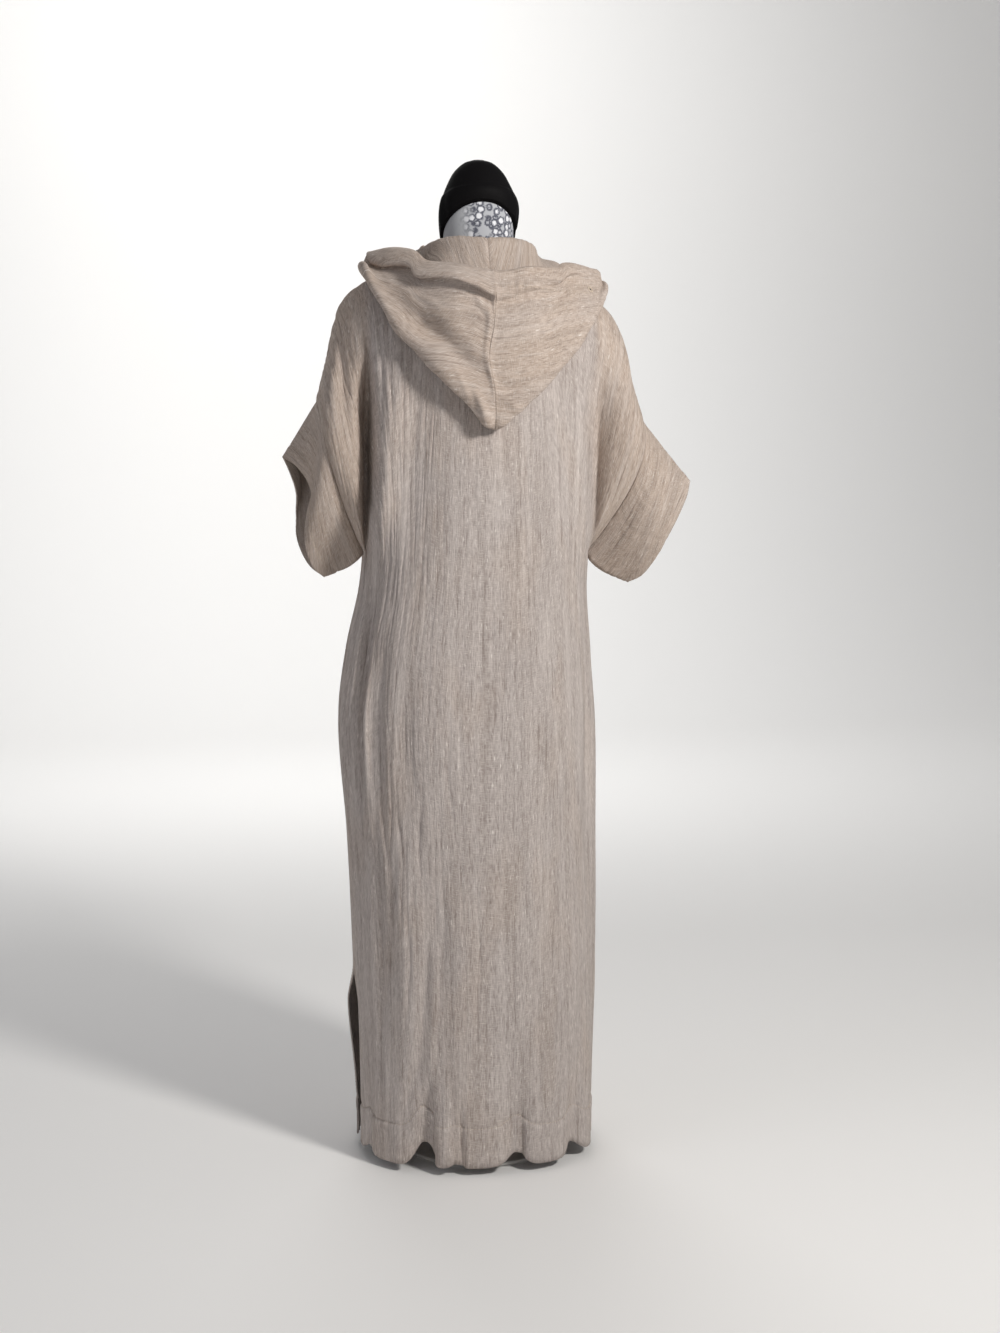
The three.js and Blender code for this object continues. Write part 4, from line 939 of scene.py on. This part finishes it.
def panelPiece(face):
    own, line, fullness = panels[face], panels["hemLine"], panels["hemFullness"]
    column = np.linspace(halfColumns, -halfColumns, panels["columns"] + 1) * faceSign(face)
    top = np.linspace(0, body["topRows"], panels["topGridRows"], endpoint=False)
    skirt = np.linspace(body["topRows"], hemRow - panels["hemLineSpace"], panels["skirtGridRows"])
    hem = np.linspace(hemRow + panels["hemLineSpace"], lastRow, panels["hemGridRows"])
    row = np.concatenate([top, skirt, hemRow + np.array(panels["besideHemLine"]), hem])
    column, row = np.meshgrid(column, row, indexing="ij")
    grid = bodyPoint(face, column, row)
    if face == "back":
        grid[..., 1] += leftEdge(grid[..., 0], grid[..., 2])
    first, last, down, _ = edgeDistances(grid)
    edge = np.minimum(np.minimum(first, last), np.where(row < body["topRows"], down, farAway))
    calm = ease(0, cloth["calmAtSeam"], edge)
    u = column * cloth["columnWidth"]
    strength = 1 + cloth["roughness"] * ease(*cloth["roughSide"], grid[..., 0])
    warmth = ease(*cloth["warmFrom"], np.abs(grid[..., 0])) * ease(*cloth["warmAbove"], grid[..., 2])
    height = crinkleHeight(u, down, own["seed"], strength) * calm
    height -= creaseDepth(grid[..., 0], grid[..., 2], own["creases"]) * calm
    height -= cloth["seamGroove"] * bell(edge, 0, cloth["seamWidth"])
    waver = line["waver"] * softNoise(u / line["waverLength"], np.zeros_like(row), own["seed"] + 9)
    height -= (line["deep"] + waver) * bell(row, hemRow, line["wide"])
    height += fullness["out"] * bell(row, hemRow + fullness["below"], fullness["wide"])
    grid = grid + gridNormals(grid, False) * height[..., None]
    turned = ease(hemRow - line["turnWide"], hemRow + line["turnWide"], row)
    thickness = cloth["wall"] + cloth["hemExtra"] * turned
    uv = np.stack([u, down + own["clothFrom"]], axis=-1)
    piece = wallPiece(face + "_panel_cloth", grid, thickness, uv, warmth)
    finishPiece(piece, "crinkled_linen", face + "_panel")
    return grid, row


# The sleeves

def sleevePiece(side):
    own, grid = sleeves[side], sleeveGrid(side)
    if side == "right":
        grid = grid[::-1]
    first, _, down, up = edgeDistances(np.concatenate([grid, grid[:1]]))
    around, along, up = first[:-1], down[:-1], up[:-1]
    calm = ease(0, cloth["calmAtSeam"], along)
    # the crinkles run aslant along the sleeve, and fade where its rings close on themselves in the fold
    height = crinkleHeight(around * 0.9 + along * 0.5, along * 0.7, own["seed"], sleeves["crinkle"]) * calm
    height *= ease(0, sleeves["calmAtJoin"], np.minimum(around, around.max() - around))
    height -= cloth["seamGroove"] * bell(along, 0, cloth["seamWidth"])
    height -= sleeves["hemGroove"] * bell(up, sleeves["cuffHem"], sleeves["hemGrooveWidth"])
    grid = grid + gridNormals(grid, True) * height[..., None]
    turned = ease(sleeves["cuffHem"] + sleeves["hemTurn"], sleeves["cuffHem"] - sleeves["hemTurn"], up)
    thickness = cloth["wall"] + cloth["hemExtra"] * turned
    uv = [along + sleeves["clothAcross"], around * sleeves["clothAround"] + own["clothFrom"]]
    piece = wallPiece(
        "sleeve_" + side + "_cloth", grid, thickness, np.stack(uv, axis=-1), sleeves["warmth"], closed=True,
    )
    finishPiece(piece, "crinkled_linen", "sleeve_" + side)
    return grid, up


# The hood's halves

def hoodPiece(side):
    own, (grid, steps) = hood["shape"][side], hoodGrid(side)
    if side == "right":
        grid = grid[::-1]
    step = np.broadcast_to(steps, grid.shape[:2])
    first, last, down, up = edgeDistances(grid)
    centreSeam = np.minimum(first, last)
    calm = ease(0, cloth["calmAtSeam"], np.minimum(centreSeam, down))
    onBack = ease(*hood["backFrom"], grid[..., 1])
    outer = ease(foldKey, foldKey + 0.6, step)

    # the outer layer is moved first, by bells on the profile's steps
    stray = hood["stray"]["out"] * bell(grid[..., 2], hood["stray"]["z"], hood["stray"]["tall"])
    stray = stray * bell(grid[..., 0], 0, hood["stray"]["wide"]) * outer * onBack
    sideways = np.sign(grid[..., 0])
    away = np.abs(grid[..., 0] + stray)
    atEnd = ease(*hood["endGrows"], away)
    out = own["endOut"] * bell(step, foldKey + 2.8, 1.1) - own["lipIn"] * bell(step, foldKey + 0.3, 0.8)
    belly = bell(step, bandKey - 0.4, 1.4) * onBack
    slide = np.interp(away, own["slideAt"], own["slide"]) * belly
    drop = own["cornerDown"] * atEnd * ease(bandKey - 0.5, rimKey - 0.5, step)
    grid = grid + np.stack([stray + atEnd * out * sideways, own["bellyOut"] * belly, slide - drop], axis=-1)

    # then come the cloth's own heights. The folded-over layer's direction points to the body, so that
    # less height stands out further there.
    smooth = mix(1, hood["endCrinkle"], ease(*hood["calmGrows"], away))
    height = crinkleHeight(up, first, own["seed"], hood["crinkle"]) * calm * smooth
    height -= creaseDepth(grid[..., 0] - stray, grid[..., 2], hoodCreases[side]) * outer * onBack * calm
    height -= hood["seam"]["deep"] * bell(centreSeam, 0, hood["seam"]["wide"]) * onBack
    roll = own["roll"] * ease(*hood["rollFades"], away) * onBack
    height -= roll * np.sin(np.pi * np.clip((step - bandKey + 0.4) / (rimKey + 0.9 - bandKey), 0, 1))
    groove = own["groove"] * ease(*hood["grooveFades"], away) * onBack * calm
    height += groove * bell(step, bandKey - 0.75, 0.4)
    foldAt = down[:, int(np.argmin(np.abs(steps - foldKey)))][:, None]
    height -= own["turned"] * ease(own["turnedWide"], 0, np.maximum(down - foldAt, 0)) * outer * calm
    if side == "right":
        pucker = hood["pucker"]
        gathers = softNoise(first / pucker["long"], np.zeros_like(down), own["seed"] + 5)
        gathers = gathers * bell(grid[..., 2], pucker["z"], pucker["tall"]) * outer * onBack
        height += pucker["high"] * gathers * ease(*pucker["from"], grid[..., 0])
    grid = grid + gridNormals(grid, False) * height[..., None]
    thickness = np.full(height.shape, cloth["wall"])
    uv = np.stack([up + hood["clothAcross"], first + own["clothFrom"]], axis=-1)
    piece = wallPiece("hood_" + side + "_cloth", grid, thickness, uv, hood["warmth"])
    finishPiece(piece, "crinkled_linen", "hood_" + side)
    return grid, step


# The dress form and its stand

form = {
    "turns": 96,
    # z, half-width, back, front, power and slope of the neck and torso
    "rings": [
        (600, 146, 96, 92, 2.2, 0), (640, 149, 102, 94, 2.2, 0), (720, 150, 112, 96, 2.2, 0),
        (800, 138, 98, 94, 2.2, 0), (880, 120, 82, 92, 2.2, 0), (960, 126, 92, 98, 2.2, 0),
        (1040, 140, 102, 112, 2.2, 0), (1090, 146, 108, 112, 2.2, 0), (1140, 150, 108, 98, 2.3, 0),
        (1180, 158, 100, 84, 2.2, 0), (1206, 158, 90, 72, 2, 0), (1236, 148, 66, 58, 1.7, 0),
        (1257.6, 122, 52, 48, 1.5, 0.08), (1270, 95, 47, 46, 1.5, 0.2), (1280, 68, 46, 46, 1.7, 0.32),
        (1287, 50, 48, 48, 2, 0.42), (1303.5, 50, 48, 48, 2, 0.61), (1320, 50, 48, 48, 2, 0.8),
    ],
    # rise over the neck's top, radius and slope of the cap
    "cap": [(0, 53, 0.8), (16, 55, 0.62), (34, 55, 0.42), (52, 51, 0.24), (70, 44, 0.1), (86, 35, 0),
            (98, 22, 0), (103, 9, 0)],
    # turn, width and height of the cap's folds
    "capFolds": [(152, 5, 1.6), (166, 5, 1.9), (140, 4, -1.2), (178, 5, -1.4), (40, 6, 1.0), (22, 5, -1.2),
                 (8, 6, 1.1), (-60, 7, 1.2), (-100, 7, -1.0), (-140, 6, 1.0)],
    # the cap's turned edge: how high it stands at the back and how far it falls round to the front
    "capLip": {"high": 62, "fall": 12, "power": 1.3, "thick": 1.3, "soft": 1.5},
    "capLoops": 64, "capFlatter": 2, "capGap": 0.3, "capFoldsFade": (75, 30), "capTuck": 1.2,
    "torsoRows": 15, "torsoLoops": 90, "neckLoops": 24, "neckY": 2, "neckTopZ": 1320,
}


def loftPiece(name, rings, material):
    # loops stacked from the lowest up, with a point at each end that closes them
    loops, turns = rings.shape[:2]
    ids = np.arange(loops * turns).reshape(loops, turns)
    near = np.roll(ids, -1, axis=1)
    sides = np.stack([ids[:-1], near[:-1], near[1:], ids[1:]], axis=-1).reshape(-1, 4)
    low, high = np.full(turns, loops * turns), np.full(turns, loops * turns + 1)
    ends = [np.stack([low, near[0], ids[0]], axis=1), np.stack([high, ids[-1], near[-1]], axis=1)]
    points = np.concatenate([rings.reshape(-1, 3), rings[:1].mean(axis=1), rings[-1:].mean(axis=1)])
    return newMesh(name, points, [sides, np.concatenate(ends)], material, len(sides))


def formRings(table, y, count):
    # superellipse loops, with the table's rows joined by smooth curves
    table = np.array(table, float)
    place = np.linspace(0, len(table) - 1, count)
    z, half, back, front, power, slope = smoothRead(np.arange(len(table)), table, place).T[..., None]
    angle = np.linspace(0, 2 * np.pi, form["turns"], endpoint=False)[None]
    c, s = np.cos(angle), np.sin(angle)
    across = np.where(s > 0, back, front) * boxy(s, power)
    return np.stack([half * boxy(c, power), y + across, z + slope * across], axis=-1)


def dressForm():
    rows = form["torsoRows"]
    torso = formRings(form["rings"][:rows], 0, form["torsoLoops"])
    neck = formRings(form["rings"][rows:], form["neckY"], form["neckLoops"])
    piece = loftPiece("dress_form", np.concatenate([torso, neck]), materials["cover"])
    finishPiece(piece, "form_cover", "form_torso")


def neckCap():
    # the jersey is drawn over the neck's top: soft folds on the right, and a turned edge as an arc
    lip, loops, flatter = form["capLip"], form["capLoops"], form["capFlatter"]
    foot = form["neckTopZ"] + form["capGap"] / math.cos(math.atan(form["cap"][0][2]))
    table = [(foot + rise, r, r - flatter, r - flatter, 2, slope) for rise, r, slope in form["cap"]]
    rings = formRings(table, form["neckY"], loops)
    out = rings - np.array([0, form["neckY"], 0])
    out[..., 2] = 0
    out = unit(out)
    turn = np.degrees(np.arctan2(out[..., 1], out[..., 0]))
    rise = rings[..., 2] - foot
    height = sum(tall * bellTurn(turn, at, width) for at, width, tall in form["capFolds"])
    edge = lip["high"] - lip["fall"] * (1 - out[..., 1]) ** lip["power"]
    height = height * ease(*form["capFoldsFade"], rise)
    height += lip["thick"] * ease(edge + lip["soft"], edge - lip["soft"], rise)
    # nothing is raised at the crown: one less the sixth power of the way up
    raised = 1 - np.linspace(0, 1, loops)[:, None] ** 6
    rings = rings + out * (height * raised)[..., None]
    rings[0] -= out[0] * form["capTuck"]
    piece = loftPiece("neck_cap_jersey", rings, materials["jersey"])
    finishPiece(piece, "black_cover", "form_neck_cap")


steel = {
    "turns": 96, "axis": 0.5, "pole": 12.5, "disc": 34, "discHigh": 8,
    # each edge is eased: a pair of points this far either side of it, or this share of a short side
    "easeLength": 0.8, "easeShare": 0.35,
    # radius and height of the base, from the axis under it to the socket's top
    "base": [(0.5, 0), (116, 0), (118, 2), (118, 5), (116, 6), (26, 8), (24, 10), (24, 34), (0.5, 34)],
}


def turnedPiece(name, profile, slot, body):
    # a profile of radius and height turned round the pole's axis
    points = []
    for k, (r, z) in enumerate(profile):
        for nearR, nearZ in profile[max(k - 1, 0):k] + profile[k + 1:k + 2]:
            share = min(steel["easeShare"], steel["easeLength"] / math.dist((r, z), (nearR, nearZ)))
            points.append((mix(r, nearR, share), mix(z, nearZ, share)))
    radius, height = np.array(points).T[..., None]
    angle = np.linspace(0, 2 * np.pi, steel["turns"], endpoint=False)
    rings = np.stack([radius * np.cos(angle), radius * np.sin(angle), height + 0 * angle], axis=-1)
    finishPiece(loftPiece(name, rings, materials["steel"]), slot, body)


def poleAndBase():
    low, high = (corner.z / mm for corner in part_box("stand_pole"))
    axis, pole, disc, under = steel["axis"], steel["pole"], steel["disc"], high - steel["discHigh"]
    profile = [(axis, low), (pole, low), (pole, under), (disc, under), (disc, high), (axis, high)]
    turnedPiece("stand_pole_tube", profile, "painted_steel", "stand_pole")
    turnedPiece("stand_base_plate", steel["base"], "painted_steel", "stand_base")


# Sewing

stitch = {"length": 3.0, "gap": 1.8, "radius": 0.38, "sides": 6, "lift": 0.3, "hemLift": 0.5}


def readAlong(run, table, place):
    # the rows of a table, read between their places along a run
    return np.stack([np.interp(place, run, table[:, k]) for k in range(3)], axis=1)


def stitchPiece(name, runs):
    # threads with rounded ends, laid end to end along each run of points and outward directions
    long, radius, turns = stitch["length"], stitch["radius"], stitch["sides"]
    centres, ways, ups = [], [], []
    for points, normals in runs:
        run = np.concatenate([[0], np.cumsum(np.linalg.norm(np.diff(points, axis=0), axis=1))])
        at = np.arange(stitch["gap"], run[-1] - long, long + stitch["gap"])
        start, end = readAlong(run, points, at), readAlong(run, points, at + long)
        centres.append((start + end) / 2)
        ways.append(end - start)
        ups.append(unit(readAlong(run, normals, at + long / 2)))
    centre, way, up = (np.concatenate(parts)[:, None] for parts in (centres, ways, ups))
    side = unit(np.cross(way, up))
    angle = np.linspace(0, 2 * np.pi, turns, endpoint=False)[None, :, None]
    spoke = up * np.cos(angle) + side * np.sin(angle)
    # share of the length from the middle, radius and lift of a thread's three rings
    rings = [(-0.4, radius * 0.7, 0), (0, radius, radius * 0.8), (0.4, radius * 0.7, 0)]
    points = np.concatenate(
        [centre + way * share + up * lift + spoke * r for share, r, lift in rings]
        + [centre + way * share for share in (-0.5, 0.5)], axis=1)
    count, each = points.shape[:2]
    k = np.arange(turns)
    after, last, tip = (k + 1) % turns, 2 * turns, np.full(turns, 3 * turns)
    sides = np.concatenate([
        np.stack([k, k + turns, after + turns, after], axis=1) + low for low in (0, turns)])
    caps = np.concatenate([
        np.stack([tip, k, after], axis=1), np.stack([tip + 1, after + last, k + last], axis=1)])
    start = (np.arange(count) * each)[:, None, None]
    faces = [(sides[None] + start).reshape(-1, 4), (caps[None] + start).reshape(-1, 3)]
    finishPiece(newMesh(name, points.reshape(-1, 3), faces, materials["thread"]), "crinkled_linen")


def lineOn(grid, closed, index, axis, lift):
    # one row or column of a grid, lifted off the middle of its cloth along the cloth's own direction
    pick = (slice(None), index) if axis == "row" else index
    normals = gridNormals(grid, closed)[pick]
    return grid[pick] + normals * lift, normals


surface = cloth["wall"] / 2
runs = {"hem": [], "slit": [], "cuff": []}
for face in ("back", "front"):
    grid, row = panelPiece(face)
    hemIndex = int(np.argmin(np.abs(row[0] - hemRow)))
    runs["hem"].append(lineOn(grid, False, hemIndex, "row", surface + stitch["hemLift"]))
    slitFrom = int(np.argmin(np.abs(row[0] - body["topRows"] - skirtRows)))
    for index in (6, -7):  # the columns a centimetre inside the left and the right slit
        points, normals = lineOn(grid, False, index, "column", surface)
        runs["slit"].append((points[slitFrom:], normals[slitFrom:]))
print("panels made")

for side in ("left", "right"):
    grid, up = sleevePiece(side)
    index = int(np.argmin(np.abs(up[0] - sleeves["cuffHem"])))
    runs["cuff"].append(lineOn(grid, True, index, "row", surface + stitch["lift"]))
print("sleeves made")

hoodGrids = {side: hoodPiece(side) for side in ("left", "right")}
print("hood made")

dressForm()
neckCap()
poleAndBase()
print("form and stand made")

for place, lines in runs.items():
    stitchPiece(place + "_stitches", lines)


def hoodOutside():
    # the right half's grid, its outward direction, and which of it is the outer layer at the back
    grid, step = hoodGrids["right"]
    return grid, -gridNormals(grid, False), (step > foldKey + 1) & (grid[..., 1] > 0)


band = {"z": 1231.5, "from": -146, "to": -16, "count": 120, "near": 10}


def bandStitches():
    # the band's stitch line on the right half: the point of each profile that is nearest its height
    grid, normals, outside = hoodOutside()
    off = np.where(outside, np.abs(grid[..., 2] - band["z"]), farAway)
    profiles = np.arange(len(grid))
    rows = np.argmin(off, axis=1)
    found = off[profiles, rows] < band["near"]
    line, ups = grid[profiles, rows][found], normals[profiles, rows][found]
    order = np.argsort(line[:, 0])
    line, ups = line[order], ups[order]
    xs = np.linspace(band["to"], band["from"], band["count"])
    line, ups = readAlong(line[:, 0], line, xs), readAlong(line[:, 0], ups, xs)
    stitchPiece("band_stitches", [(line + ups * (surface + stitch["lift"]), unit(ups))])


eyelet = {
    "x": -148, "z": 1238, "ring": 4.0, "thread": 1.1, "ringSides": 28, "threadSides": 10,
    "wraps": 9, "wrapHigh": 0.12,
    # radius and lift of the black dish of painted shade inside the ring, where the hole's shade falls
    "shadeDish": [(4.0, -0.6), (4.0, 0.1), (0.6, 0.15)],
}


def eyeletPiece():
    # a ring of wrapped thread, which is a circle of circles, round a black dish that paints the shade in the
    # eyelet's hole
    grid, normals, outside = hoodOutside()
    away = np.hypot(grid[..., 0] - eyelet["x"], grid[..., 2] - eyelet["z"])
    place = np.unravel_index(np.argmin(np.where(outside, away, farAway)), away.shape)
    up = normals[place]
    centre = grid[place] + up * surface
    side = unit(np.cross(up, [0, 0, 1]))
    other = np.cross(up, side)
    a = np.linspace(0, 2 * np.pi, eyelet["ringSides"], endpoint=False)[:, None, None]
    b = np.linspace(0, 2 * np.pi, eyelet["threadSides"], endpoint=False)[None, :, None]
    spoke = side * np.cos(a) + other * np.sin(a)
    wrapped = 1 + eyelet["wrapHigh"] * np.sin(eyelet["wraps"] * a)
    points = centre + spoke * (eyelet["ring"] + eyelet["thread"] * np.cos(b) * wrapped)
    points = points + up * eyelet["thread"] * np.sin(b)
    ids = np.arange(points.size // 3).reshape(points.shape[:2])
    nextA, nextB = np.roll(ids, -1, axis=0), np.roll(ids, -1, axis=1)
    faces = np.stack([ids, nextA, np.roll(nextA, -1, axis=1), nextB], axis=-1).reshape(-1, 4)
    ring = newMesh("hood_eyelet", points.reshape(-1, 3), [faces], materials["thread"])
    finishPiece(ring, "crinkled_linen")
    # the hole's shade is painted: a black disc of jersey lies on the cloth inside the ring
    shadeDish = np.array([centre + up * lift + spoke[:, 0] * r for r, lift in eyelet["shadeDish"]])
    finishPiece(loftPiece("hood_eyelet_hole_shade", shadeDish, materials["jersey"]), "crinkled_linen")


bandStitches()
eyeletPiece()
print("sewing made")


# Floor, light and camera

sweep = {"reach": 14000, "rise": 9000, "wall": -4200, "turn": 2600, "steps": 24, "paper": "#f6f5f3"}


def studio():
    # a sheet of paper that lies on the floor and turns up into a wall behind the front
    mesh = bpy.data.meshes.new("studio_floor")
    angle = np.linspace(0, np.pi / 2, sweep["steps"])
    y = np.concatenate([[sweep["reach"]], sweep["wall"] - sweep["turn"] * np.sin(angle),
                        [sweep["wall"] - sweep["turn"]]])
    z = np.concatenate([[0], sweep["turn"] * (1 - np.cos(angle)), [sweep["rise"]]])
    points = np.array([(x, b, c) for x in (-sweep["reach"], sweep["reach"]) for b, c in zip(y, z)]) * mm
    count = len(y)
    quads = [(k, k + 1, count + k + 1, count + k) for k in range(count - 1)]
    mesh.from_pydata(points.tolist(), [], quads)
    for polygon in mesh.polygons:
        polygon.use_smooth = True
    paper = linear(sweep["paper"])
    material, _ = newMaterial("matt_paper", 0.95, Specular_IOR_Level=0.1, Base_Color=paper)
    linkObject(mesh, material)


# name, place, target, width in metres, power in watts and colour
lights = [
    ("key_light", (-1.1, 1.65, 1.85), (0, 0, 1.5), 0.4, 40, "#fffcf8"),
    ("fill_light", (3.2, 1.3, 1.5), (0, 0, 0.9), 2.0, 9, "#f1f2ff"),
    ("front_light", (0, -3, 2.6), (0, 0, 0.9), 2.2, 30, "#ffffff"),
    ("backdrop_light", (0, -3.4, 3.8), (0, -6.8, 1.8), 3.0, 120, "#ffffff"),
]
skyColour, skyStrength = "#f4f4f6", 0.29


def softLight(name, place, target, size, power, colour):
    data = bpy.data.lights.new(name, "AREA")
    data.shape = "DISK"
    data.size = size
    data.energy = power
    data.color = linear(colour)[:3]
    lamp = bpy.data.objects.new(name, data)
    lamp.location = place
    lamp.rotation_euler = (Vector(target) - Vector(place)).to_track_quat("-Z", "Y").to_euler()
    bpy.context.scene.collection.objects.link(lamp)


# The photograph's size and the place of the garment's axis in it are in pixels. One is 1.45 mm there.
view = {
    "distance": 2.6, "turn": 9, "eyeZ": 0.95, "targetZ": 0.742, "metresPerPixel": 0.00145,
    "wide": 1000, "high": 1333, "axisX": 478, "axisY": 639.3, "sensor": 36,
}


def camera():
    data = bpy.data.cameras.new("camera")
    turn = math.radians(view["turn"])
    eye = Vector((view["distance"] * math.sin(turn), view["distance"] * math.cos(turn), view["eyeZ"]))
    target = Vector((0, 0, view["targetZ"]))
    focal = (eye - target).length / view["metresPerPixel"]
    data.sensor_width = view["sensor"]
    data.lens = focal * view["sensor"] / view["high"]
    data.shift_x = (view["wide"] / 2 - view["axisX"]) / view["high"]
    data.shift_y = (view["axisY"] - view["high"] / 2) / view["high"]
    item = bpy.data.objects.new("camera", data)
    item.location = eye
    item.rotation_euler = (target - eye).to_track_quat("-Z", "Y").to_euler()
    bpy.context.scene.collection.objects.link(item)
    bpy.context.scene.camera = item


def sky():
    world = bpy.data.worlds.new("studio")
    world.use_nodes = True
    background = world.node_tree.nodes["Background"]
    background.inputs["Color"].default_value = linear(skyColour)
    background.inputs["Strength"].default_value = skyStrength
    bpy.context.scene.world = world
    bpy.context.scene.view_settings.view_transform = "Standard"


studio()
for light in lights:
    softLight(*light)
sky()
camera()
print("studio made")
